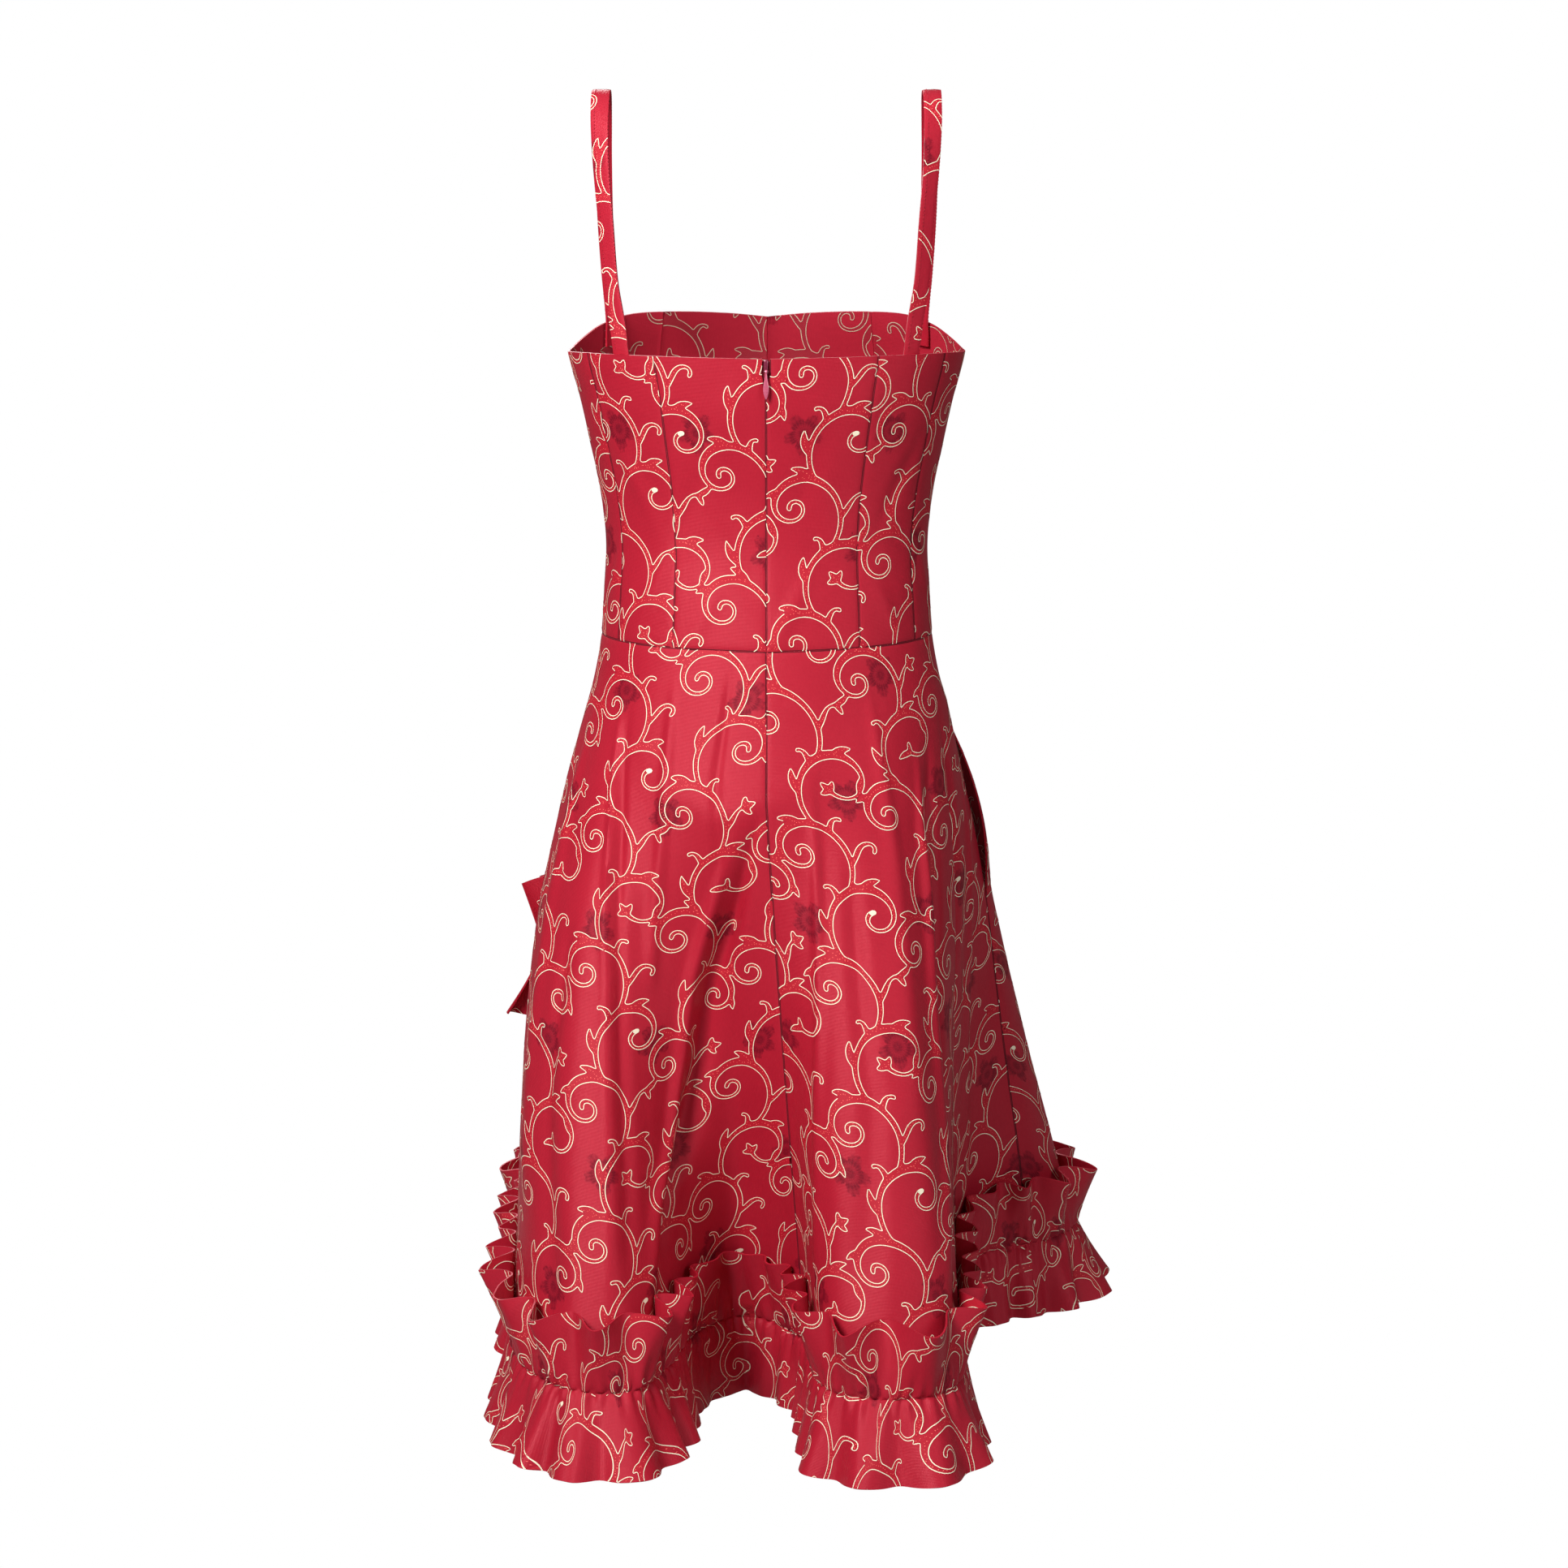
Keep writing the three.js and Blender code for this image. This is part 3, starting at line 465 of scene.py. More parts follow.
# %% Satin weave group
WARP_SHARE, RIB_SHARE = 0.35, 0.5       # how far the threads along and across stand out beside the slubs
SLUBS_PER_METRE = (900, 240, 1)
weave_group, n, given, result = group(
    "satin weave", [("Flat place", "NodeSocketVector"), ("Ribs per metre", "NodeSocketFloat")],
    [("Height", "NodeSocketFloat"), ("Slub", "NodeSocketFloat")])
across, up = n.split(given["Flat place"])[:2]
ribs, warp = (n.math("SINE", n.times(n.times(along, given["Ribs per metre"]), 2 * math.pi)) for along in (up, across))
slub = n.noise(n.add("ShaderNodeMapping", {"Vector": given["Flat place"], "Scale": SLUBS_PER_METRE}).outputs[0], 1.0)
n.link(n.scaled(warp, WARP_SHARE, n.scaled(ribs, RIB_SHARE, slub)), result["Height"])
n.link(slub, result["Slub"])
print("satin weave group ready")

# %% Tonal flower group
# A rosette of five broad petals, set out in staggered rows of its own. Its edge is lost in the weave.
FLOWER_ACROSS, FLOWER_UP, FLOWER_SIZE = 0.105, 0.094, 0.0185  # metres between flowers, and a flower's reach
FLOWER_START = (10.04, 10.03)  # far outside the cloth, so that places are never below 0
EDGE_FROM, EDGE_TO = -0.0006, 0.0022
flower_group, n, given, result = group(
    "tonal flower", [("Flat place", "NodeSocketVector")], [("Mask", "NodeSocketFloat")])
across, up = n.split(given["Flat place"])[:2]
v = n.math("DIVIDE", n.plus(up, FLOWER_START[1]), FLOWER_UP)
u = n.plus(n.math("DIVIDE", n.plus(across, FLOWER_START[0]), FLOWER_ACROSS), n.times(n.math("FLOOR", v), 0.5))
du, dv = (n.times(n.math("SUBTRACT", n.math("FRACT", at), 0.5), step)
          for at, step in ((u, FLOWER_ACROSS), (v, FLOWER_UP)))
radius = n.math("SQRT", n.plus(n.times(du, du), n.times(n.times(dv, dv), 0.8)))
turn = n.math("ARCTAN2", dv, du)
petals = n.math("ABSOLUTE", n.math("COSINE", n.scaled(turn, 2.5, 0.8)))
veins = n.math("ABSOLUTE", n.math("SINE", n.times(turn, 12.5)))
frayed = n.noise(given["Flat place"], 330.0, 3.0, 0.7)
rim = n.times(FLOWER_SIZE, n.scaled(petals, 0.36, n.scaled(frayed, 0.5, 0.24)))
body = n.add("ShaderNodeMapRange", {0: n.math("SUBTRACT", rim, radius), 1: EDGE_FROM, 2: EDGE_TO, 3: 0, 4: 1},
             interpolation_type="SMOOTHSTEP").outputs[0]
openings = n.scaled(n.math("SINE", n.times(radius, 900.0)), 0.22, n.scaled(veins, 0.3, 0.5))
speckle = n.noise(given["Flat place"], 900.0)
flower = n.times(body, n.times(openings, n.scaled(speckle, 1.5, 0.25)))
n.link(n.math("MINIMUM", flower, 1.0), result["Mask"])
print("tonal flower group ready")

# %% [markdown]
# ## Finishes
# Satin shows a broad soft shine, because its floats lie mostly one way. The ground's colour stays nearly even and
# the shine does the modelling. The scroll's outline is a thicker cream thread, so it gets a visible twist of its own.

# %% Finish maker
PLAIN_WHITE = (1, 1, 1, 1)


def finish_of(name, roughness=0.5, metallic=0.0, specular=0.5, sheen=0.0, sheen_tint=PLAIN_WHITE, coat=0.0,
              tint=PLAIN_WHITE):
    """A material with a Principled shader and its node helper."""
    material = bpy.data.materials.new(name)
    material.use_nodes = True
    shader = material.node_tree.nodes["Principled BSDF"]
    for socket, value in {"Roughness": roughness, "Metallic": metallic, "Specular IOR Level": specular,
                          "Specular Tint": tint, "Sheen Weight": sheen, "Sheen Roughness": 0.4,
                          "Sheen Tint": sheen_tint, "Coat Weight": coat}.items():
        shader.inputs[socket].default_value = value
    return material, Nodes(material.node_tree), shader.inputs


def flat_place(n):
    """Each point's place on the flat cut, in metres."""
    return n.add("ShaderNodeUVMap", uv_map="cloth").outputs[0]


def placed(n, tree, inputs):
    """Puts a node group into a material, with its own values."""
    return n.add("ShaderNodeGroup", inputs, node_tree=tree).outputs


print("node groups", [tree.name for tree in bpy.data.node_groups])

# %% Brocade ground
SATIN_RED, SATIN_DEEP, TONAL_RED = srgb(188, 34, 53), srgb(170, 22, 43), srgb(110, 6, 28)
REVERSE_RED, REVERSE_DEEP, REVERSE_TONAL = srgb(184, 38, 56), srgb(160, 30, 48), srgb(118, 16, 34)
SATIN_GLOW, SATIN_SHINE = srgb(240, 84, 100), srgb(255, 150, 160)
RIBS_PER_METRE, WEAVE_DEPTH = 1250.0, 0.00022


def brocade_of(name, red, deep, tonal, roughness, specular, sheen):
    material, n, shader = finish_of(name, roughness=roughness, specular=specular, sheen=sheen,
                                    sheen_tint=SATIN_GLOW, tint=SATIN_SHINE)
    place = flat_place(n)
    weave = placed(n, weave_group, {"Flat place": place, "Ribs per metre": RIBS_PER_METRE})
    cloudy = n.noise(place, 22.0, 3.0)
    ground = n.mix(n.scaled(cloudy, 0.6, 0.1), red, deep)
    ground = n.mix(n.times(weave["Slub"], 0.28), ground, tonal)
    mask = placed(n, flower_group, {"Flat place": place})["Mask"]
    n.link(n.mix(n.times(mask, 0.95), ground, tonal), shader["Base Color"])
    n.link(n.scaled(mask, 0.14, n.scaled(weave["Slub"], 0.12, roughness - 0.05)), shader["Roughness"])
    n.link(n.bump(0.35, WEAVE_DEPTH, n.scaled(mask, -0.8, weave["Height"])), shader["Normal"])
    return material


brocade = brocade_of("red scroll brocade", SATIN_RED, SATIN_DEEP, TONAL_RED, 0.41, 0.55, 0.05)
brocade_inside = brocade_of("red brocade, reverse", REVERSE_RED, REVERSE_DEEP, REVERSE_TONAL, 0.65, 0.25, 0.06)
print("brocade finishes", brocade.name, "and", brocade_inside.name)

# %% Thread finishes
def thread_of(name, light, dark, roughness, twist):
    """A thread whose colour and height turn with its twist, given in turns for each metre times 2 pi."""
    material, n, shader = finish_of(name, roughness=roughness, specular=0.35, sheen=0.2, sheen_tint=light)
    place = flat_place(n)
    across, up = n.split(place)[:2]
    turns = n.math("SINE", n.times(n.plus(across, up), twist))
    worn = n.noise(place, 160.0, 3.0)
    n.link(n.mix(n.scaled(turns, 0.16, n.times(worn, 0.42)), light, dark), shader["Base Color"])
    n.link(n.bump(0.4, 0.0002, turns), shader["Normal"])
    return material


cream_thread = thread_of("cream outline thread", srgb(255, 245, 220), srgb(236, 210, 164), 0.55, 5200.0)
# On the inside the outline and the vine ground are darker and greyer than on the right side: partly the reverse's own
# duller tone, partly painted shade for the inside of the dress.
reverse_thread_and_shade = thread_of("outline thread, reverse and painted shade", srgb(204, 182, 158), srgb(158, 126, 110), 0.75, 5200.0)
vine_ground = thread_of("vine ground", srgb(190, 18, 42), srgb(160, 10, 34), 0.6, 3800.0)
vine_reverse_and_shade = thread_of("vine ground, reverse and painted shade", srgb(158, 26, 44), srgb(130, 18, 36), 0.7, 3800.0)
vine_dots = thread_of("vine dots", srgb(242, 104, 96), srgb(218, 62, 66), 0.55, 3000.0)
sewing_thread = thread_of("sewing thread", srgb(176, 24, 44), srgb(110, 8, 28), 0.6, 6400.0)
# A near-black red for thin strips along the seams: painted shade, standing in for the shadow in each seam's groove.
painted_seam_shade = thread_of("painted seam shade", srgb(92, 6, 24), srgb(70, 4, 18), 0.8, 6400.0)
print("materials", len(bpy.data.materials))

# %% [markdown]
# ## The woven scrolls
# The brocade's figure is two vines that wind upwards, each edged in cream. At every turn the stem goes on towards
# the other side, and leaves a scroll behind that curls up by itself. A pen line whose bend tightens as it goes draws
# both, so one row of the table is one scroll: how it bends once the stem has left it, its tip, its leaves and the
# small curls beside it. The cream outline is then the edge of all the strokes together, which is why it runs on
# smoothly where they join.

# %% Table of scrolls
FIGURE = 1.08  # mm for each unit that the scrolls below are drawn in
DRAWN_ACROSS, DRAWN_UP = 140.0, 194.0
REPEAT_W, REPEAT_H = DRAWN_ACROSS * FIGURE, DRAWN_UP * FIGURE
TURNS_UP = 4  # how often a vine turns in one repeat
VINE = dict(starts=((35, 12), (105, 36)), bend=2.0, turned=104, branch=30)
WIDE = (1.6, 1.9, 2.1, 2.2, 2.9, 3.5, 2.9, 1.8, 1.3, 1.1, 1.7)  # a scroll swells like a comma, then curls
SLIM = (1.4, 1.9, 2.1, 1.6, 1.1, 1.4)
LEAF = (.5, .85, 1, .95, .75, .45, .08)
LEAF_LONG, LEAF_WIDE = 1.3, 1.1  # how much larger than in their rows the leaves along a scroll are drawn
PEN_STEP, LEAF_STEP = .6, .5
ROUND = [(32, 2.3, 3.1), (31, 3.3, 5.0), (22, 5.6, 10), (8, 12, 18)]
COUNTER = [(13, 1.5, -1.0), (11, -4, -9), (8, -12, -20)]
TIPS = dict(  # heading, length, width and bend of each leaf or petal that ends a spray
    fork=((22, 14, 2.6, 2.2), (-46, 9, 2.1, -2)), flower=((-66, 8, 2.3, .6), (0, 9, 2.5, .6), (60, 8, 2.3, .6)))
# A leaf is (share of the way along, heading, length, width, bend), a curl (share, heading, bends, its own tip).
# A bend is (length, degrees per unit at its start, at its end). The first four scrolls go up one vine.
SCROLLS = [
    dict(tail=ROUND, leaves=[(.46, -36, 13, 2.9, 1.8), (.65, -34, 9, 2.2, 1.2)],
         curls=[(.13, -36, COUNTER), (.31, -46, [(9, -3, -6), (7, -9, -18)])]),
    dict(tail=[(32, 2.3, 3.1), (31, 3.4, 4.6), (12, 4.2, 3)], tip="flower",
         leaves=[(.20, -34, 14, 3.0, 1.8), (.53, -36, 12, 2.7, 1.8), (.74, 36, 9, 2.2, -1.2)],
         curls=[(.38, -44, [(8, -3, -6), (6, -10, -20)])]),
    dict(tail=[(31, 2.3, 3.0), (30, 3.4, 5.2), (22, 5.8, 10.5), (7, 12, 18)],
         leaves=[(.42, -34, 14, 3.0, 1.8), (.60, -38, 9, 2.2, 1.4)],
         curls=[(.15, -38, [(15, 1, -1), (10, -4, -8)], "fork")]),
    dict(tail=[(31, 2.3, 3.1), (29, 3.5, 5.6), (18, 6.6, 11)], tip="bud",
         leaves=[(.16, -36, 14, 3.0, 1.8), (.50, -36, 12, 2.8, 1.6)],
         curls=[(.35, -46, [(8, -2, -7), (7, -9, -17)])]),
    dict(tail=[(32, 2.3, 3.1), (30, 3.4, 5.2), (23, 5.6, 10), (6, 12, 17)],
         leaves=[(.38, -34, 14, 3.0, 1.8), (.57, -38, 10, 2.4, 1.4)], curls=[(.17, -36, COUNTER)]),
    dict(tail=[(31, 2.3, 3.0), (29, 3.4, 4.8), (10, 4, 2)], tip="fork",
         leaves=[(.12, -36, 14, 3.0, 1.6), (.50, -36, 13, 2.8, 1.8), (.67, 34, 9, 2.2, -1.2)],
         curls=[(.33, -46, [(8, -3, -6), (7, -9, -18)])]),
    dict(tail=ROUND, leaves=[(.45, -34, 13, 2.9, 1.8)],
         curls=[(.14, -36, [(14, 1.5, -.5), (8, -4, -6)], "flower"), (.34, -44, [(7, -3, -6), (6, -10, -20)])]),
    dict(tail=[(31, 2.3, 3.1), (30, 3.4, 5.2), (22, 5.8, 10.5), (7, 12, 17)],
         leaves=[(.2, -36, 14, 3.0, 1.8), (.52, -36, 11, 2.6, 1.6), (.68, -34, 8, 2.0, 1.2)],
         curls=[(.38, -44, [(8, -2, -7), (6, -9, -18)])]),
]


print("scrolls", len(SCROLLS), "repeat %.0f by %.0f mm" % (REPEAT_W, REPEAT_H))

# %% Pen
def pen(x, y, heading, bends, widths, step=PEN_STEP):
    """A line drawn from a place in a heading, whose bend changes evenly along each part."""
    points, h = [(x, y)], math.radians(heading)
    for length, first, last in bends:
        count = max(2, int(length / step))
        for i in range(count):
            half = math.radians(lerp(first, last, (i + .5) / count)) * length / count / 2
            h += half
            x, y = x + math.cos(h) * length / count, y + math.sin(h) * length / count
            h += half
            points.append((x, y))
    half_width = np.interp(np.linspace(0, 1, len(points)), np.linspace(0, 1, len(widths)), widths)
    return np.array(points), half_width, math.degrees(h)


def leaf(x, y, heading, length, width, bend):
    """A short stroke that bends more towards its tip."""
    return pen(x, y, heading, [(length, bend, bend * 1.8)], [width * w for w in LEAF], LEAF_STEP)[:2]


def tip_of(kind, end, h):
    """The small leaves or petals that end a spray."""
    return [leaf(*end, h + off, long, wide, bend) for off, long, wide, bend in TIPS.get(kind, ())]


def mirrored(bends, hand):
    """The same bends to the left (1) or to the right (-1)."""
    return [(length, first * hand, last * hand) for length, first, last in bends]


def along(line, share):
    """The place at a share of a line, and the heading there."""
    i = int(share * (len(line) - 2))
    d = line[i + 1] - line[i]
    return (*line[i], math.degrees(math.atan2(d[1], d[0])))


print("places in a leaf", len(leaf(0, 0, 90, 14, 3, 1.8)[0]))

# %% Draw the scrolls
def draw_scroll(row, stem, x, y, heading, hand):
    """The strokes of one scroll, starting with the stem that it grows from, and the bud at its tip if it has one."""
    line, width, h = pen(x, y, heading, mirrored([stem] + row["tail"], hand), WIDE)
    drawn = [(line, width)]
    for share, off, long, wide, bend in row["leaves"]:
        px, py, ph = along(line, share)
        drawn.append(leaf(px, py, ph + off * hand, long * LEAF_LONG, wide * LEAF_WIDE, bend * hand))
    for share, off, bends, *tip in row["curls"]:
        px, py, ph = along(line, share)
        curl, curl_width, curl_h = pen(px, py, ph + off * hand, mirrored(bends, hand), SLIM)
        drawn.append((curl, curl_width))
        drawn += tip_of(tip[0] if tip else None, curl[-1], curl_h)
    drawn += tip_of(row.get("tip"), line[-1], h)
    return drawn, [(line[-1], h)] if row.get("tip") == "bud" else []


def draw_strokes():
    """All the strokes of one repeat, and the buds at their tips."""
    strokes, buds = [], []
    length, bend, lean = VINE["turned"] / VINE["bend"], VINE["bend"], (VINE["turned"] - VINE["branch"]) / 2
    arc = pen(0, 0, 90 - lean, [(length, bend, bend)], WIDE)[0]
    size = DRAWN_UP / TURNS_UP / (arc[-1, 1] - arc[0, 1])
    stem = (length * size, bend / size, bend / size)
    for vine, (x, y) in enumerate(VINE["starts"]):
        for k in range(TURNS_UP):
            hand = (1, -1)[k % 2]
            heading = 90 - lean * hand
            drawn, bud = draw_scroll(SCROLLS[vine * TURNS_UP + k], stem, x, y, heading, hand)
            strokes += drawn
            buds += bud
            x, y = pen(x, y, heading, mirrored([stem], hand), WIDE)[0][-1]
    return [(line * FIGURE, width) for line, width in strokes], [(at * FIGURE, h) for at, h in buds]


strokes, buds = draw_strokes()
print("strokes", len(strokes), "buds", len(buds))

# %% Distance to the strokes
FAR, NEAR, BORDER = 9.0, 3, 6  # the field's value away from strokes, how far a stroke is felt, a margin round it
CELLS_ACROSS, CELLS_UP = 127, 176
SHORTEST_CHAIN = 6


def distance_field(strokes, across, up):
    """How far each grid place is from the nearest stroke's edge; below 0 inside a stroke."""
    field = np.full((len(across), len(up)), FAR)
    for line, width in strokes:
        for ox in (-REPEAT_W, 0, REPEAT_W):
            for oy in (-REPEAT_H, 0, REPEAT_H):
                for (x, y), r in zip(line + (ox, oy), width):
                    if not (-BORDER < x < REPEAT_W + BORDER and -BORDER < y < REPEAT_H + BORDER):
                        continue
                    i, j = (slice(*np.searchsorted(g, (c - r - NEAR, c + r + NEAR)))
                            for g, c in ((across, x), (up, y)))
                    near = np.hypot(across[i, None] - x, up[None, j] - y) - r
                    field[i, j] = np.minimum(field[i, j], near)
    return field


print("cells", CELLS_ACROSS, "by", CELLS_UP)

# %% Edges of the field
def trace_edges(field, across, up):
    """Chains of places where the field passes through 0, cell by cell."""
    links = {}
    inside = field < 0
    for i, j in np.argwhere((inside[:-1, :-1] != inside[1:, :-1]) | (inside[:-1, 1:] != inside[1:, 1:])
                            | (inside[:-1, :-1] != inside[:-1, 1:])):
        corner = (inside[i, j], inside[i + 1, j], inside[i + 1, j + 1], inside[i, j + 1])
        sides = ((i, j, 0), (i + 1, j, 1), (i, j + 1, 0), (i, j, 1))
        cut = [sides[k] for k in range(4) if corner[k] != corner[(k + 1) % 4]]
        if len(cut) == 4 and not corner[0]:
            cut = [cut[0], cut[3], cut[1], cut[2]]
        for a, b in zip(cut[::2], cut[1::2]):
            links.setdefault(a, []).append(b)
            links.setdefault(b, []).append(a)

    def crossing(side):
        i, j, upright = side
        a, b = field[i, j], field[i, j + 1] if upright else field[i + 1, j]
        f = a / (a - b)
        return (across[i], lerp(up[j], up[j + 1], f)) if upright else (lerp(across[i], across[i + 1], f), up[j])
    used, chains = set(), []
    for start in [k for k, v in links.items() if len(v) == 1] + list(links):
        if start in used:
            continue
        chain = [start]
        used.add(start)
        while True:
            onward = [k for k in links[chain[-1]] if k not in used]
            if not onward:
                break
            chain.append(onward[0])
            used.add(onward[0])
        closed = len(chain) > 2 and start in links[chain[-1]]
        line = np.array([crossing(k) for k in chain + [start] * closed])
        if len(line) > SHORTEST_CHAIN:
            chains.append(even_out(line, closed))
    return chains


def even_out(line, closed):
    """Smooths the small steps of the cells, and keeps the ends of open chains where they are."""
    for _ in range(2):
        if closed:
            q = line[:-1]
            q = (np.roll(q, 1, 0) + 2 * q + np.roll(q, -1, 0)) / 4
            line = np.vstack([q, q[:1]])
        else:
            line = np.vstack([line[:1], (line[:-2] + 2 * line[1:-1] + line[2:]) / 4, line[-1:]])
    return line


print("edges can be traced")

# %% Outline
def thinned(line, tolerance=.09, longest=3.4):
    """Keeps few places on straight stretches and many in tight curls."""
    keep = [0]
    i = 0
    while i < len(line) - 1:
        j = i + 1
        while j + 1 < len(line):
            chord = line[j + 1] - line[i]
            length = np.hypot(*chord)
            between = line[i + 1:j + 1] - line[i]
            off = np.abs(between[:, 0] * chord[1] - between[:, 1] * chord[0]) / max(length, 1e-6)
            if length > longest or off.max() > tolerance:
                break
            j += 1
        keep.append(j)
        i = j
    return line[keep]


cells = np.linspace(0, REPEAT_W, CELLS_ACROSS), np.linspace(0, REPEAT_H, CELLS_UP)
outline = [thinned(line) for line in trace_edges(distance_field(strokes, *cells), *cells)]
print("outline chains", len(outline), "places", sum(len(line) for line in outline))

# %% [markdown]
# ## Carrying the scrolls onto the cloth
# The outline could be a picture, but a picture this fine goes soft close up. It is made as a flat narrow ribbon of
# real thread instead, laid on the facets of the cloth and cut off at the seams. The same is done for the darker
# ground inside the vine and for its row of small bright dots.

# %% Ribbons
LIFT = dict(seam=.06, ground=.14, dots=.26, outline=.32, bud=.36)
# SEAM_HALF and SEAM_BACK give the half width of the painted seam shade strips and how far in from the edge they lie.
OUTLINE_HALF, SEAM_HALF, SEAM_BACK, CLEAR_OF_EDGE = .31, .34, .54, .15
DOTS_APART, DOT_STRAYS, DOT_SIZES, DOT_CLEAR = 2.6, .9, (.36, .56), 1.2
WIDE_ENOUGH_FOR_DOTS = 1.15
EVERY = int(DOTS_APART / PEN_STEP)  # the ground's strips and the dots use every so many places of a stroke
BUD_LONG, BUD_WIDE, BUD_CLEAR = 2.9, 2, .3
SCROLL_FINISHES = [cream_thread, vine_ground, vine_dots, reverse_thread_and_shade, painted_seam_shade, vine_reverse_and_shade]
OUTLINE, GROUND, DOTS, OUTLINE_REVERSE_AND_SHADE, PAINTED_SEAM_SHADE, GROUND_REVERSE_AND_SHADE = range(len(SCROLL_FINISHES))


class Ribbons:
    """Collects strips of flat cloth pattern as one mesh."""

    def __init__(self):
        self.verts, self.faces, self.uv, self.material, self.count = [], [], [], [], 0

    def strip(self, cloth, line, half_width, lift, side, material):
        """A strip along a flat line, kept only where it lies inside the cut."""
        depth = cloth.inside(line[:, 0], line[:, 1]) - CLEAR_OF_EDGE
        if (depth <= 0).all():
            return
        half_width = np.broadcast_to(half_width, len(line)).astype(float)
        run = []
        for i in range(len(line)):
            if depth[i] > 0:
                if not run and i:
                    f = depth[i] / (depth[i] - depth[i - 1])
                    run.append((lerp(line[i], line[i - 1], f), half_width[i]))
                run.append((line[i], half_width[i]))
            elif run:
                f = depth[i - 1] / (depth[i - 1] - depth[i])
                run.append((lerp(line[i - 1], line[i], f), half_width[i]))
                self._lay(cloth, run, lift, side, material)
                run = []
        if run:
            self._lay(cloth, run, lift, side, material)

    def _lay(self, cloth, run, lift, side, material):
        if len(run) < 2:
            return
        line = np.array([p for p, _ in run])
        width = np.array([w for _, w in run])[:, None]
        d = unit(np.gradient(line, axis=0))
        normal = np.stack([-d[:, 1], d[:, 0]], 1)
        edges = np.stack([line + normal * width, line - normal * width], 1).reshape(-1, 2)
        self.add(cloth, edges, [(2 * k, 2 * k + 1, 2 * k + 3, 2 * k + 2) for k in range(len(line) - 1)],
                 lift, side, material)

    def add(self, cloth, places, faces, lift, side, material):
        self.verts.append(cloth.place(places[:, 0], places[:, 1], lift, side))
        self.uv.append(places)
        order = 1 if side > 0 else -1
        self.faces += [tuple(self.count + k for k in face[::-order]) for face in faces]
        self.material += [material] * len(faces)
        self.count += len(places)

    def made(self, name):
        return new_object(name, np.vstack(self.verts), self.faces, SCROLL_FINISHES, np.vstack(self.uv),
                          self.material)


print("finishes of the scrolls", len(SCROLL_FINISHES))

# %% Laying the repeat
def seam_line(cloth, edge):
    """The flat line beside an edge, along which a dark strip of painted seam shade is laid."""
    flat = {"low": (cloth.s[0] + SEAM_BACK, cloth.t), "high": (cloth.s[-1] - SEAM_BACK, cloth.t),
            "foot": (cloth.s[:, 0], cloth.t[0] + SEAM_BACK), "top": (cloth.s[:, -1], cloth.t[-1] - SEAM_BACK)}[edge]
    return np.stack(np.broadcast_arrays(*flat), 1)


def repeats_over(places, start, size):
    """The repeats of one size that reach over some places, with one more on each side."""
    return range(math.floor((places.min() - start) / size) - 1, math.floor((places.max() - start) / size) + 2)


def weave_scrolls(name, patches, shift, sides=(1, -1), seams=(), right_side_both=False):
    """Lays the repeat over every patch of cloth. shift is where the repeat starts on the grain line."""
    ribbons = Ribbons()
    seed = np.random.default_rng(len(name))
    for cloth in patches:
        for edge in seams:
            # Along each listed edge lies a dark strip of painted seam shade.
            ribbons.strip(cloth, seam_line(cloth, edge), SEAM_HALF, LIFT["seam"], 1, PAINTED_SEAM_SHADE)
        for a in repeats_over(cloth.s, shift[0], REPEAT_W):
            for b in repeats_over(cloth.t, shift[1], REPEAT_H):
                origin = np.array([a * REPEAT_W + shift[0], b * REPEAT_H + shift[1]])
                for side in sides:
                    lay_repeat(ribbons, cloth, origin, side, seed, side > 0 or right_side_both)
    return ribbons.made(name)


def lay_repeat(ribbons, cloth, origin, side, seed, right_side):
    """Lays one repeat on one face: the outline, the ground inside the vine, its dots and the buds."""
    # The inside's scrolls take the darker reverse finishes, which hold partly painted shade.
    edge, ground = (OUTLINE, GROUND) if right_side else (OUTLINE_REVERSE_AND_SHADE, GROUND_REVERSE_AND_SHADE)
    for line in outline:
        ribbons.strip(cloth, line + origin, OUTLINE_HALF, LIFT["outline"], side, edge)
    for line, width in strokes:
        ribbons.strip(cloth, line[::EVERY] + origin, np.maximum(width[::EVERY] - .1, .1), LIFT["ground"], side, ground)
        if side > 0:
            lay_dots(ribbons, cloth, line[2::EVERY] + origin, width[2::EVERY], seed)
    a = np.linspace(0, 2 * np.pi, 9)[:-1]
    for at, h in buds:
        c, s = math.cos(math.radians(h)), math.sin(math.radians(h))
        bud = at + origin + np.stack([BUD_LONG * np.cos(a) * c - BUD_WIDE * np.sin(a) * s,
                                      BUD_LONG * np.cos(a) * s + BUD_WIDE * np.sin(a) * c], 1)
        if cloth.inside(bud[:, 0], bud[:, 1]).min() > BUD_CLEAR:
            ribbons.add(cloth, bud, [tuple(range(8))], LIFT["bud"], side, edge)


def lay_dots(ribbons, cloth, places, widths, seed):
    """Small lozenges of bright thread, a little out of line, where a stroke is wide enough."""
    for (x, y), r in zip(places, widths):
        if r < WIDE_ENOUGH_FOR_DOTS:
            continue
        x, y = x + seed.uniform(-DOT_STRAYS, DOT_STRAYS), y + seed.uniform(-DOT_STRAYS, DOT_STRAYS)
        if cloth.inside(np.array([x]), np.array([y]))[0] > DOT_CLEAR:
            size = seed.uniform(*DOT_SIZES)
            ribbons.add(cloth, np.array([(x - size, y), (x, y - size), (x + size, y), (x, y + size)]),
                        [(0, 1, 2, 3)], LIFT["dots"], 1, DOTS)


print("ribbons ready")

# %% [markdown]
# ## Bodice panels
# Eight panels, joined by princess seams that curve in at the waist. Beside each seam the cloth is pressed down
# over its turnings, so every panel dips a little towards its edges. Columns of the grid crowd together there.

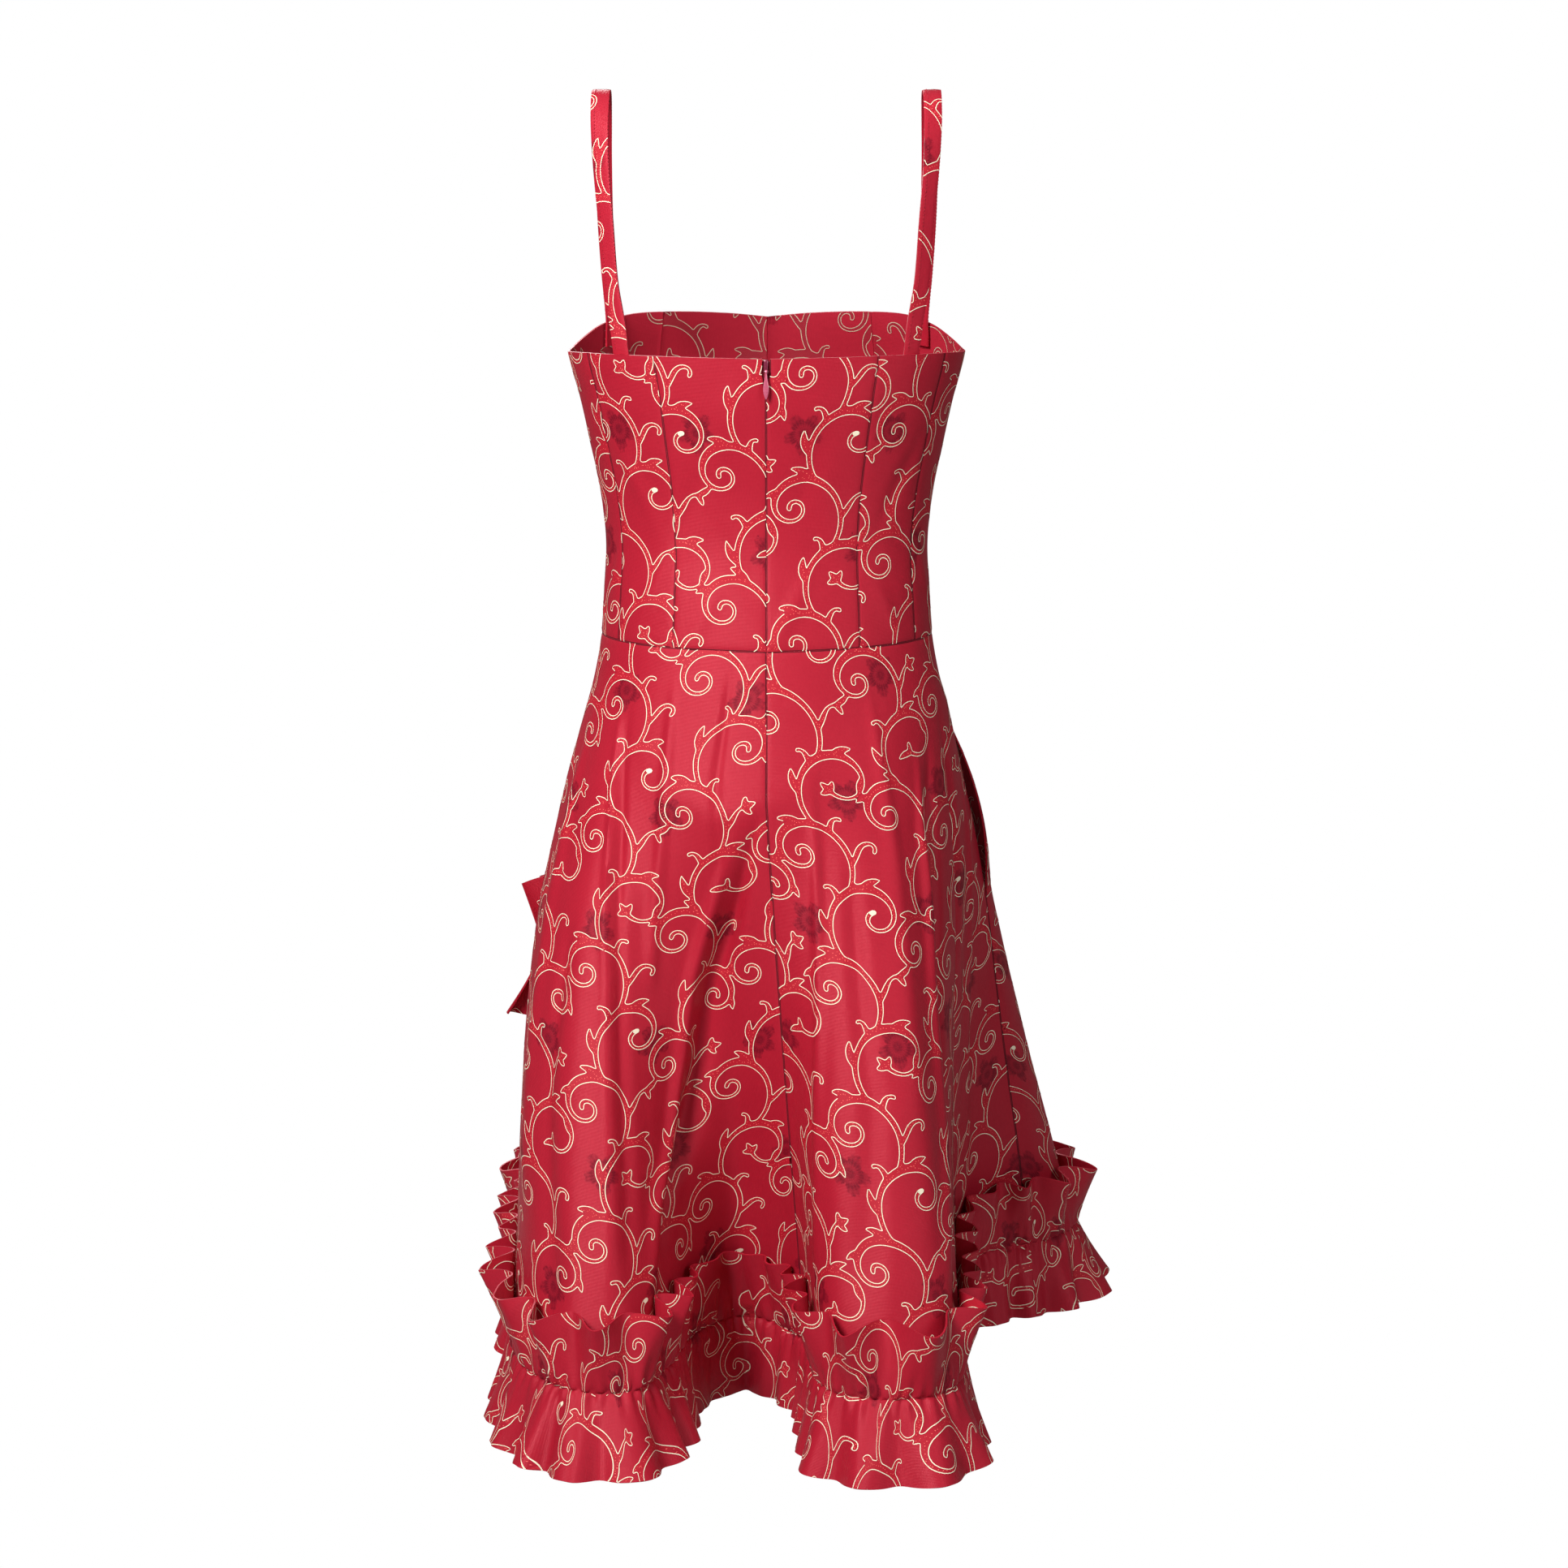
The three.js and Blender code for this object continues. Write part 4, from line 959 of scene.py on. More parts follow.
# %% Bodice panels
NOTCH, NOTCH_DEPTH = 3.1, 32  # how far the zip's slider parts the neckline on each side, and how far down
BODICE_LONG, BODICE_ROWS, BODICE_COLUMN, FEWEST_COLUMNS = 225, 50, 4.2, 14
BODICE_PANELS = [  # name, from and to angle, where the scrolls start on the grain line
    ("bodice_back_right", 0, BACK_PRINCESS, (-24, -38)),
    ("bodice_side_back_right", BACK_PRINCESS, SIDE_SEAM, (-92, -6)),
    ("bodice_side_front_right", SIDE_SEAM, FRONT_PRINCESS, (-60, -70)),
    ("bodice_front_right", FRONT_PRINCESS, math.pi, (-30, -110)),
    ("bodice_front_left", math.pi, 2 * math.pi - FRONT_PRINCESS, (-84, -110)),
    ("bodice_side_front_left", 2 * math.pi - FRONT_PRINCESS, 2 * math.pi - SIDE_SEAM, (-100, -20)),
    ("bodice_side_back_left", -SIDE_SEAM, -BACK_PRINCESS, (-40, -84)),
    ("bodice_back_left", -BACK_PRINCESS, 0, (-78, -38)),
]


def crowded(count, width, near=(0, .7, 1.7, 3.2)):
    """Shares from 0 to 1, with extra ones at set distances from both ends."""
    edge = np.array(near) / width
    return np.concatenate([edge, np.linspace(edge[-1], 1 - edge[-1], count)[1:-1], 1 - edge[::-1]])


def seam_dip(distance, depth=.55, width=1.7):
    """How far cloth is pressed in at a distance from its seam."""
    return depth * np.exp(-(distance / width)**2)


def mm_per_radian(angle, z, near=.01):
    """How many mm of the bodice's ring pass in one radian."""
    return np.linalg.norm(bodice_at(angle + near, z) - bodice_at(angle - near, z), axis=-1) / (2 * near)


def eased(x):
    """From 0 to 1, level at both ends."""
    x = np.clip(x, 0, 1)
    return x * x * (3 - 2 * x)


def centre_back_inset(z):
    """How far a back panel stays clear of centre back: the seam's gap, and more beside the slider."""
    return lerp(SEAM_GAP / 2, NOTCH, eased((z - (neck_z(0) - NOTCH_DEPTH)) / (NOTCH_DEPTH * 2 / 3)))


print("panels", len(BODICE_PANELS))

# %% Creases of the bodice
DRAGS = [  # degrees from centre back, height, lean, half length, depth, width
    (9, -395, .5, 30, 1.3, 7), (-7, -372, -.6, 34, -1.2, 8), (24, -340, -.35, 36, 1.2, 8), (-22, -402, .45, 28, 1.4, 7),
    (-27, -318, .4, 36, -1.2, 9), (15, -286, .3, 34, -1.0, 9), (45, -392, -.6, 26, 1.4, 7), (-44, -384, .6, 28, 1.3, 7),
    (50, -300, .5, 32, -1.3, 9), (-50, -296, -.5, 34, 1.2, 9), (-12, -250, .25, 30, 1.0, 10),
    (31, -236, -.2, 26, 1.1, 9), (75, -380, -.5, 30, 1.3, 8), (-74, -370, .5, 30, -1.3, 8),
    (110, -350, .5, 34, 1.3, 9), (-112, -340, -.5, 34, 1.3, 9), (138, -390, -.4, 28, 1.2, 8),
    (-140, -396, .4, 28, -1.2, 8), (165, -330, .3, 36, -1.1, 9), (-166, -346, -.3, 34, 1.1, 9),
]


def drag_depth(angle, z, radius=135):
    """Shallow slanting creases where the bodice is drawn tight, on a ring of about one radius."""
    depth = 0 * z
    for degrees, height, lean, long, deep, wide in DRAGS:
        turn = np.angle(np.exp(1j * (angle - math.radians(degrees))))
        off = turn * radius - lean * (z - height)
        depth = depth + deep * np.exp(-(off / wide)**2 - ((z - height) / long)**2)
    return depth


print("creases", len(DRAGS))

# %% Bodice cloth
def bodice_cloth(start, end):
    """One panel of the bodice, with its creases, and pressed in along its seams."""
    width = WAIST_GIRTH * abs(end - start) / (2 * math.pi)
    u = crowded(max(FEWEST_COLUMNS, int(width / BODICE_COLUMN)), width)[:, None]
    v = crowded(BODICE_ROWS, BODICE_LONG)[None, :]
    straight = lerp(start, end, u)
    z = lerp(waist_z(straight) + SEAM_GAP / 2, neck_z(straight), v)
    inset = [centre_back_inset(z) if angle == 0 else SEAM_GAP / 2 + 0 * z for angle in (start, end)]
    low = start + inset[0] / mm_per_radian(start + 0 * z, z)
    high = end - inset[1] / mm_per_radian(end + 0 * z, z)
    middle = bodice_at(lerp(low, high, u), z)
    cloth = Cloth(middle, BODICE_CLOTH)
    middle = middle + cloth.normal * drag_depth(lerp(low, high, u), z)[..., None]
    dip = seam_dip(cloth.s - cloth.s[0]) + seam_dip(cloth.s[-1] - cloth.s) + seam_dip(v * BODICE_LONG)
    return Cloth(middle - cloth.normal * dip[..., None], BODICE_CLOTH)


made_cloth, scrolls_of, flat_cut, panels = {}, {}, {}, {}


def add_piece(name, cloth, inside=None, strip=None):
    """Cloth in place of its solid. A plain strip gives its own flat width, other panels are measured."""
    piece = made_cloth[name] = cloth_object("cloth_" + name, cloth, brocade, inside)
    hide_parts(name)
    flat_cut[name] = (float(strip or np.ptp(cloth.s)) * MM, float(np.ptp(cloth.t)) * MM,
                      None if strip else cloth.area() * MM * MM)
    print(name, "flat %.0f by %.0f mm" % tuple(size / MM for size in flat_cut[name][:2]))


for name, start, end, shift in BODICE_PANELS:
    cloth = panels[name] = bodice_cloth(start, end)
    add_piece(name, cloth, brocade_inside)
    scrolls_of[name] = weave_scrolls("scrolls_" + name, [cloth], shift, seams=("low", "high", "foot"))

# %% [markdown]
# ## Skirt panels
# The skirt hangs from the waist seam and swings out into folds. Its grid follows the same folded curve as the
# solids. A few softer creases are then set, each from its own row: where it starts, how it wanders, how deep and
# how wide it is. Those at the back follow the garment, and the hidden front gets similar ones.

# %% Skirt panels
CREASES = [  # path as (height, share of the girth) pairs, depth, width
    ([(-540, .978), (-590, .962), (-684, .938), (-746, .929), (-806, .913), (-858, .889), (-945, .872)], 5, 11),
    ([(-540, .995), (-590, .979), (-684, .955), (-746, .946), (-806, .930), (-858, .906), (-945, .889)], -11, 15),
    ([(-490, .162), (-566, .141), (-682, .135), (-800, .137), (-886, .121), (-945, .116)], 4.5, 11),
    ([(-490, .179), (-566, .158), (-682, .152), (-800, .154), (-886, .138), (-945, .133)], -10, 15),
    ([(-445, .834), (-560, .850), (-678, .857), (-872, .851), (-945, .850)], 3, 7),
    ([(-445, .846), (-560, .862), (-678, .869), (-872, .863), (-945, .862)], -3.5, 11),
    ([(-500, .036), (-700, .048), (-940, .040)], 3.5, 12), ([(-560, .072), (-760, .082), (-930, .074)], -4, 13),
    ([(-440, .112), (-620, .104), (-800, .108)], 2.5, 14), ([(-430, .960), (-520, .955), (-640, .965)], -2.5, 10),
    ([(-470, .205), (-700, .212), (-940, .220)], -5, 13), ([(-520, .248), (-760, .240), (-940, .246)], 4, 12),
    ([(-470, .330), (-700, .338), (-900, .345)], -4.5, 13), ([(-520, .392), (-760, .386), (-945, .392)], 5, 14),
    ([(-450, .452), (-680, .462), (-900, .455)], -4.5, 12), ([(-530, .516), (-760, .508), (-945, .514)], 5, 13),
    ([(-470, .585), (-560, .590), (-660, .592)], -3, 12), ([(-480, .655), (-600, .650), (-690, .648)], 2.5, 12),
    ([(-520, .735), (-740, .744), (-930, .742)], -4.5, 13), ([(-470, .792), (-660, .800), (-870, .796)], 4, 13),
    ([(-440, .902), (-540, .906), (-700, .899)], 3, 12), ([(-620, .825), (-780, .818), (-945, .822)], -4, 11),
]
SKIRT_WIDE, SKIRT_LONG, SKIRT_ROWS, BELOW_GATHERS = 440, 545, 74, 3
SKIRT_DIP = dict(depth=.5, width=1.6)
SKIRT_PANELS = [  # name, from and to share, steps across, where the scrolls start
    ("skirt_back_right", 0, SKIRT_SIDE_SEAM, 118, (-118, -52)),
    ("skirt_front", SKIRT_SIDE_SEAM, 1 - SKIRT_SIDE_SEAM, 150, (-70, -20)),
    ("skirt_back_left", 1 - SKIRT_SIDE_SEAM, 1, 118, (-30, -140)),
]


def crease_depth(share, z):
    """How far the creases stand out (or lie in, below 0) at each place of the skirt."""
    depth = 0 * z
    for path, deep, wide in CREASES:
        heights, shares = np.array(path).T
        down = (heights[0] - z) / (heights[0] - heights[-1])
        centre = np.interp(-z, -heights, shares) + .0016 * np.sin(down * 7 + shares[0] * 40)
        swell = eased(down / .25) * eased((1 - down) / .16)
        reach = wide * lerp(.8, 1.3, np.clip(down, 0, 1)) / HEM_LENGTH
        depth = depth + deep * swell * np.exp(-((share - centre) / reach)**2)
    return depth


def pocket_lift(share, z):
    """How far the front's edge stands away from the side seam at the pocket mouth."""
    middle, half = (POCKET["top"] + POCKET["bottom"]) / 2, (POCKET["top"] - POCKET["bottom"]) / 2
    down = np.maximum(0, 1 - ((z - middle) / half)**2)
    past_seam = (share - SKIRT_SIDE_SEAM) / POCKET["width"]
    return np.where(past_seam < -.02, 0, POCKET["opens"] * down * np.exp(-past_seam * past_seam))


print("creases", len(CREASES))

# %% Skirt cloth
def skirt_cloth(start, end, steps, is_front):
    """One panel of the skirt, with its creases, and pressed in along its seams."""
    u = crowded(steps, SKIRT_WIDE)[:, None]
    share = lerp(start, end, u)
    foot, top = gather_z(share) - BELOW_GATHERS, waist_z(angle_at(share)) - SEAM_GAP / 2
    near_waist = np.array([4, 3.2, 1.7, .7, 0]) / SKIRT_LONG
    v = np.concatenate([np.linspace(0, 1 - near_waist[0], SKIRT_ROWS)[:-1], 1 - near_waist[1:]])
    z = lerp(foot, top, v[None, :])
    share = share + 0 * z
    p, out, up, across = skirt_frame(share, z)
    if is_front:
        p = p + out * pocket_lift(share, z)[..., None]
    p = p + out * crease_depth(share, z)[..., None]
    p[0] += across[0] * SEAM_GAP / 2
    p[-1] -= across[-1] * SEAM_GAP / 2
    cloth = Cloth(p, SKIRT_CLOTH)
    from_edges = (cloth.s - cloth.s[0], cloth.s[-1] - cloth.s, (1 - v) * SKIRT_LONG)
    dip = sum(seam_dip(distance, **SKIRT_DIP) for distance in from_edges)
    return Cloth(p - cloth.normal * dip[..., None], SKIRT_CLOTH)


for name, start, end, steps, shift in SKIRT_PANELS:
    cloth = panels[name] = skirt_cloth(start, end, steps, name == "skirt_front")
    add_piece(name, cloth, brocade_inside)
    scrolls_of[name] = weave_scrolls("scrolls_" + name, [cloth], shift, seams=("low", "high", "top"))

# %% [markdown]
# ## Seam thread
# Two panels never quite touch, and light would show through the hairline between them. On the real dress the sewing
# closes it. Here one flat thread runs in each gap, and stops where the edges part, at the pocket mouth and the zip.

# %% Tubes along a seam
THREAD_HALF_WIDTH, THREAD_HALF_THICK, WIDEST_GAP, ZIP_FOOT = .3, .25, 1.2, -530
panel_order = [name for name, *_ in BODICE_PANELS]
seam_pairs = list(zip(panel_order, panel_order[1:]))
seam_pairs += [("skirt_back_right", "skirt_front"), ("skirt_front", "skirt_back_left"),
               ("skirt_back_left", "skirt_back_right")]


def tube_faces(rings, around, base=0, capped=True):
    """Faces that join equal rings of points, with a cap at each end."""
    faces = [(base + k * around + m, base + k * around + (m + 1) % around,
              base + (k + 1) * around + (m + 1) % around, base + (k + 1) * around + m)
             for k in range(rings - 1) for m in range(around)]
    last = base + (rings - 1) * around
    return faces + [tuple(base + m for m in range(around))[::-1], tuple(last + m for m in range(around))] * capped


def twist_place(verts):
    """A flat place for thread that lies on no cut, so that its twist shows."""
    return np.stack([verts[:, 0] + verts[:, 1], verts[:, 2]], 1)


def stretches(closed):
    """The first row and the end of every stretch of two or more rows where a seam is closed."""
    changes = np.flatnonzero(np.diff(np.concatenate([[0], closed.astype(int), [0]])))
    return [(first, end) for first, end in zip(changes[::2], changes[1::2]) if end - first > 1]


print("seams", len(seam_pairs))

# %% Seam threads
verts, faces = [], []
for before, after in seam_pairs:
    one, other = panels[before].mid[-1], panels[after].mid[0]
    line, out = (one + other) / 2, unit(panels[before].normal[-1] + panels[after].normal[0])
    sideways = unit(np.cross(unit(np.gradient(line, axis=0)), out))
    closed = np.linalg.norm(one - other, axis=1) < WIDEST_GAP
    if after == "skirt_back_right":
        closed &= line[:, 2] < ZIP_FOOT
    for first, end in stretches(closed):
        faces += tube_faces(end - first, 4, len(verts), capped=False)
        verts += [line[k] + sideways[k] * a * THREAD_HALF_WIDTH + out[k] * b * THREAD_HALF_THICK
                  for k in range(first, end) for a, b in ((-1, -1), (1, -1), (1, 1), (-1, 1))]
new_object("seam_threads", verts, faces, [sewing_thread], twist_place(np.array(verts)))
print("seams closed", len(seam_pairs), "faces", len(faces))

# %% [markdown]
# ## Gathered bands
# The hem's trimming is a strip, probably folded double, and gathered through its middle, so half of it stands up as
# a heading and half hangs as a flounce. Near the gathers the cloth is full of small puckers. They merge into broad
# waves towards both free edges. Waves and puckers are worked out separately and each fades where the other begins.

# %% Waves and puckers
BAND = dict(
    hem=dict(heading=dict(length=62, waves=44, lean=15, swing=13, overhang=6),
             flounce=dict(length=63, waves=54, lean=10.5, swing=8.5, overhang=3)),
    hip=dict(heading=dict(length=62, waves=36, lean=16, swing=11, overhang=2),
             flounce=dict(length=62, waves=42, lean=17, swing=10, overhang=1)))
HIP_Z, HIP_FROM, HIP_TO = -696, .605, .7
BAND_EASE = (SKIRT_CLOTH + RUFFLE_CLOTH) / 2 + SEAM_GAP + .8
PUCKER = dict(waves=208, depth=2.4, fades=9, from_gathers=1.6)
LONG_PUCKER = dict(waves=91, depth=3.0, fades=24, from_gathers=4)
RIPPLE, PRESSED_IN, PRESSED_OVER = .9, 1.9, 3.4


def wave(share, waves):
    """The swing of a wave round the girth, outwards and along, uneven in spacing and size."""
    turn = 2 * np.pi * share
    angle = waves * turn + .8 * np.sin(7 * turn) + .45 * np.sin(13 * turn + 1)
    size = .86 + .16 * np.sin(9 * turn + 2) + .12 * np.sin(16 * turn)
    return size * np.sin(angle + .45 * np.cos(angle)), size * np.cos(angle)


def puckers(length, turn, upward):
    """How far the small folds near the gathers stand out: fine ones at the stitches, longer ones beyond."""
    late = 1.3 if upward else 0
    fine = np.sin(PUCKER["waves"] * turn + 1.7 * np.sin(11 * turn) + 1.1 * np.sin(31 * turn + 2))
    long = np.sin(LONG_PUCKER["waves"] * turn + 2.2 * np.sin(9 * turn + late) + 1.3 * np.sin(23 * turn + late))
    uneven = .6 + .4 * np.sin(17 * turn + 2 * late) * np.sin(5 * turn)
    return sum(swing * kind["depth"] * np.exp(-length / kind["fades"]) * (1 - np.exp(-length / kind["from_gathers"]))
               for swing, kind in ((fine, PUCKER), (long * uneven, LONG_PUCKER)))


print("kinds of band", list(BAND))

# %% Band grids
def band_half(frame_at, half, share, reach, stand, upward):
    """One half of a gathered band. reach runs from 0 at the gathers to 1 at the free edge."""
    at, out, up, across = frame_at
    swing_out, swing_along = wave(share, half["waves"])
    lean = np.radians(half["lean"] + half["swing"] * swing_out) * stand
    length = half["length"] * reach
    slope = np.maximum(0, -(up * out).sum(-1))[..., None]
    run = up if upward else unit(np.array([0, 0, -1.0]) + out * slope)
    turn = 2 * np.pi * share
    ripple = RIPPLE * np.sin(2.3 * half["waves"] * turn + 5 * np.sin(5 * turn)) * reach * (1 - .4 * reach) * stand
    lift = BAND_EASE + puckers(length, turn, upward) + ripple - PRESSED_IN * np.exp(-length / PRESSED_OVER)
    return (at + out * (lift + half["length"] * reach ** 1.12 * np.sin(lean))[..., None]
            + run * (length * np.cos(lean))[..., None]
            + across * (half["overhang"] * reach ** 1.2 * swing_along * stand * stand)[..., None])


REACH = np.array([0, .025, .055, .09, .14, .2, .28, .39, .51, .64, .77, .89, 1.0])


def band_cloth(kind, share, gathers, stand):
    """A strip's whole grid from the foot of the flounce to the top of the heading, its two patches, its length."""
    share = share[:, None] + 0 * REACH[None, :]
    base = skirt_frame(share, gathers(share))
    reach = REACH[None, :] + 0 * share
    heading = band_half(base, BAND[kind]["heading"], share, reach, stand(share), True)
    flounce = band_half(base, BAND[kind]["flounce"], share, reach, stand(share), False)
    cloth = Cloth(np.concatenate([flounce[:, ::-1], heading[:, 1:]], axis=1), RUFFLE_CLOTH)
    foot, top = passed_along(cloth.mid[:, 0]), passed_along(cloth.mid[:, -1])
    longest = max(foot[-1], top[-1])
    cloth.s = np.repeat((top / top[-1] * longest - longest / 2)[:, None], cloth.mid.shape[1], 1)
    middle = len(REACH) - 1
    return cloth, [cloth.part(slice(0, middle + 1)), cloth.part(slice(middle, None))], longest


print("rows of cloth in a band", 2 * len(REACH) - 1)

# %% Hem and hip bands
def wrapped(f):
    """Reads a function of the girth's share on past centre back."""
    return lambda share: f(share - np.floor(share))


RUFFLES = [  # name, from and to share, steps, where the scrolls start
    ("hem_ruffle_back_right", 0, SKIRT_SIDE_SEAM, 330, (-20, -50)),
    ("hem_ruffle_front_right", SKIRT_SIDE_SEAM, .5, 240, (-66, -120)),
    ("hem_ruffle_front_left", .5, 1 - SKIRT_SIDE_SEAM, 240, (-12, -66)),
    ("hem_ruffle_back_left", 1 - SKIRT_SIDE_SEAM, 1, 330, (-90, -150)),
    ("hip_ruffle", HIP_FROM, HIP_TO, 130, (-50, -80)),
]
BAND_INSET = SEAM_GAP / 4 / HEM_LENGTH
for name, start, end, steps, shift in RUFFLES:
    share = np.linspace(start + BAND_INSET, end - BAND_INSET, steps)
    if name == "hip_ruffle":
        cloth, patches, longest = band_cloth("hip", share, lambda s: HIP_Z + 0 * s, lambda s: 1 + 0 * s)
    else:
        cloth, patches, longest = band_cloth("hem", share, wrapped(gather_z), wrapped(ruffle_stand))
    add_piece(name, cloth, strip=longest)
    scrolls_of[name] = weave_scrolls("scrolls_" + name, patches, shift, right_side_both=True)

# %% [markdown]
# ## Shoulder straps
# Each strap is a narrow tube of brocade pressed flat, sewn inside the neckline at the back and the front, with a
# row of stitches along each edge. It arches over the place where the shoulder would be.

# %% Straps
STRAP_WIDTH, STRAP_THICK = 14, 2.4
CROWN_Z = STRAP_THICK / 2
SEWN_IN = BODICE_CLOTH / 2 + SEAM_GAP + STRAP_THICK / 2


def sewn_in(angle, z, ease, near=.01):
    """A place of the strap inside the neckline, and how it is turned there."""
    across = unit(bodice_at(angle + near, z) - bodice_at(angle - near, z))
    up = bodice_at(angle, z + 1) - bodice_at(angle, z - 1)
    at = bodice_at(angle, z) - unit(np.cross(across, up)) * (SEWN_IN + ease)
    return (*at, math.degrees(math.atan(across[1] / across[0])))


BACK_ROOT, FRONT_ROOT = math.radians(46.5), math.radians(127.5)
STRAP_PATH = np.array([  # x, y, z, turn in degrees, from the back root over the shoulder to the front root
    sewn_in(BACK_ROOT, -216, .6), sewn_in(BACK_ROOT, -208, .6), sewn_in(BACK_ROOT, -200, .6),
    (114, -64, -178, 32), (119.5, -60, -145, 34), (123, -54, -100, 36), (127, -43, -55, 32), (128.5, -30, -22, 20),
    (128.5, -14, CROWN_Z - 4, 8), (128.5, 0, CROWN_Z, 0), (128.5, 14, CROWN_Z - 4, -8), (129, 30, -22, -18),
    (129.5, 43, -55, -28), (129, 52, -100, -36), (127, 57, -140, -40),
    sewn_in(FRONT_ROOT, -178, 1.9), sewn_in(FRONT_ROOT, -188, 1.9), sewn_in(FRONT_ROOT, -198, 1.9)])
strap_turn = through(np.linspace(0, 1, len(STRAP_PATH)), STRAP_PATH[:, 3])


print("places on a strap's path", len(STRAP_PATH))

# %% Strap cloth
STRAP_STEPS, STRAP_SHELL = 150, STRAP_THICK - .8
STRAP_ACROSS = np.array([-.5, -.46, -.38, -.25, -.1, .1, .25, .38, .46, .5])
CROWNED, EDGE_PRESSED = .3, .5


def strap_cloth(hand):
    """One strap, pressed flat with soft edges. hand is 1 for the wearer's right, -1 for the left."""
    share = np.linspace(0, 1, STRAP_STEPS)
    line = spline(STRAP_PATH[:, :3], share, False)
    run = unit(np.gradient(line, axis=0))
    turn = np.radians(strap_turn(share))
    width = np.stack([np.cos(turn), np.sin(turn), 0 * turn], 1)
    width = unit(width - run * (width * run).sum(1, keepdims=True))
    p = line[None] + width[None] * (STRAP_ACROSS * STRAP_WIDTH)[:, None, None]
    p[..., 0] *= hand
    cloth = Cloth(p if hand > 0 else p[::-1], STRAP_SHELL)
    crown = CROWNED - EDGE_PRESSED * np.abs(STRAP_ACROSS * 2)[:, None] ** 6
    return Cloth(cloth.mid + cloth.normal * crown[..., None], STRAP_SHELL)


print("strap shell %.1f mm thick" % STRAP_SHELL)

# %% Stitches
STITCH = dict(length=2.0, gap=.9, thick=.36, round=5, rings=((0, .25), (.22, 1), (.78, 1), (1, .25)), clear=.2)


def stitches(name, lines, cloth):
    """Short raised stitches along flat lines of cloth, each a bead that sinks in at both ends."""
    verts, faces = [], []
    length, thick, count, rings = STITCH["length"], STITCH["thick"], STITCH["round"], len(STITCH["rings"])
    ring_at = np.linspace(0, 2 * np.pi, count + 1)[:-1]
    for line in lines:
        passed = passed_along(line)
        for start in np.arange(STITCH["gap"], passed[-1] - length, length + STITCH["gap"]):
            t = start + length * np.array([share for share, _ in STITCH["rings"]])
            flat = np.stack([np.interp(t, passed, line[:, k]) for k in (0, 1)], 1)
            if cloth.inside(flat[:, 0], flat[:, 1]).min() < STITCH["clear"]:
                continue
            at = cloth.place(flat[:, 0], flat[:, 1], .1)
            out = unit(at - cloth.place(flat[:, 0], flat[:, 1], -.5))
            sideways = unit(np.cross(unit(np.gradient(at, axis=0)), out))
            base = len(verts)
            for k, (_, size) in enumerate(STITCH["rings"]):
                centre = at[k] - out[k] * thick * (1 - size) * .8
                verts += [centre + thick * size * (np.cos(a) * sideways[k] + .8 * np.sin(a) * out[k]) for a in ring_at]
            faces += tube_faces(rings, count, base)
    return new_object(name, verts, faces, [sewing_thread], twist_place(np.array(verts)))


print("stitch length", STITCH["length"], "mm")

# %% Make the straps
STITCH_ROWS, ROW_FROM_ENDS = (-5.4, 5.4), 20
for name, hand, shift in (("strap_right", 1, -36), ("strap_left", -1, -96)):
    cloth = strap_cloth(hand)
    add_piece(name, cloth, strip=STRAP_WIDTH)
    scrolls_of[name] = weave_scrolls("scrolls_" + name, [cloth], (shift, -60), (1,))
    t = np.linspace(cloth.t[0] + ROW_FROM_ENDS, cloth.t[-1] - ROW_FROM_ENDS, 260)
    stitches("stitches_" + name, [np.stack([0 * t + s, t], 1) for s in STITCH_ROWS], cloth)

# %% [markdown]
# ## Concealed zip
# Only the top of a concealed zip shows: the slider in its notch, a little of the coil, and the enamelled pull. The
# tape stays the solid it is. The slider and the pull are made again with the soft edges of cast and enamelled metal.

# %% Zip finishes
def on_object(n):
    return n.add("ShaderNodeTexCoord").outputs["Object"]


def enamel_of(name, light, dark):
    """Enamel over cast metal, a little rubbed."""
    material, n, shader = finish_of(name, roughness=.22, metallic=.25, specular=.7, coat=.6)
    wear = n.noise(on_object(n), 700, 3)
    n.link(n.mix(wear, light, dark), shader["Base Color"])
    n.link(n.scaled(wear, .18, .16), shader["Roughness"])
    return material


enamel = enamel_of("rose enamel", srgb(232, 122, 150), srgb(176, 62, 92))
dark_enamel = enamel_of("dark red enamel", srgb(150, 48, 78), srgb(92, 20, 42))
coil_finish, n, shader = finish_of("zip coil", roughness=.4)
n.link(n.mix(n.noise(on_object(n), 900), srgb(150, 24, 44), srgb(96, 10, 28)), shader["Base Color"])
tape_finish, n, shader = finish_of("zip tape", roughness=.8, specular=.2)
split = n.split(on_object(n))
herringbone = n.math("SINE", n.times(n.plus(split[2], n.math("ABSOLUTE", split[0])), 5200.0))
n.link(n.mix(n.scaled(herringbone, .3, .4), srgb(138, 22, 40), srgb(88, 10, 26)), shader["Base Color"])
n.link(n.bump(.4, .0002, herringbone), shader["Normal"])
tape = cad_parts["zip_tape"]
tape.data.materials.clear()
tape.data.materials.append(tape_finish)
print("zip finishes", [m.name for m in (enamel, dark_enamel, coil_finish, tape_finish)])

# %% Forms from rings
def lofted(rings):
    """Joins equal rings of points into one closed form with capped ends."""
    rings = np.asarray(rings, float)
    return rings.reshape(-1, 3), tube_faces(*rings.shape[:2])


def oval(x_half, y_half, z, y=0.0, x=0.0, power=2.6, count=20):
    """A level ring of points, rounder at power 2 and squarer above it."""
    a = np.linspace(0, 2 * np.pi, count + 1)[:-1]
    c, s = np.cos(a), np.sin(a)
    return np.stack([x + x_half * np.sign(c) * np.abs(c) ** (2 / power),
                     y + y_half * np.sign(s) * np.abs(s) ** (2 / power), z + 0 * a], 1)


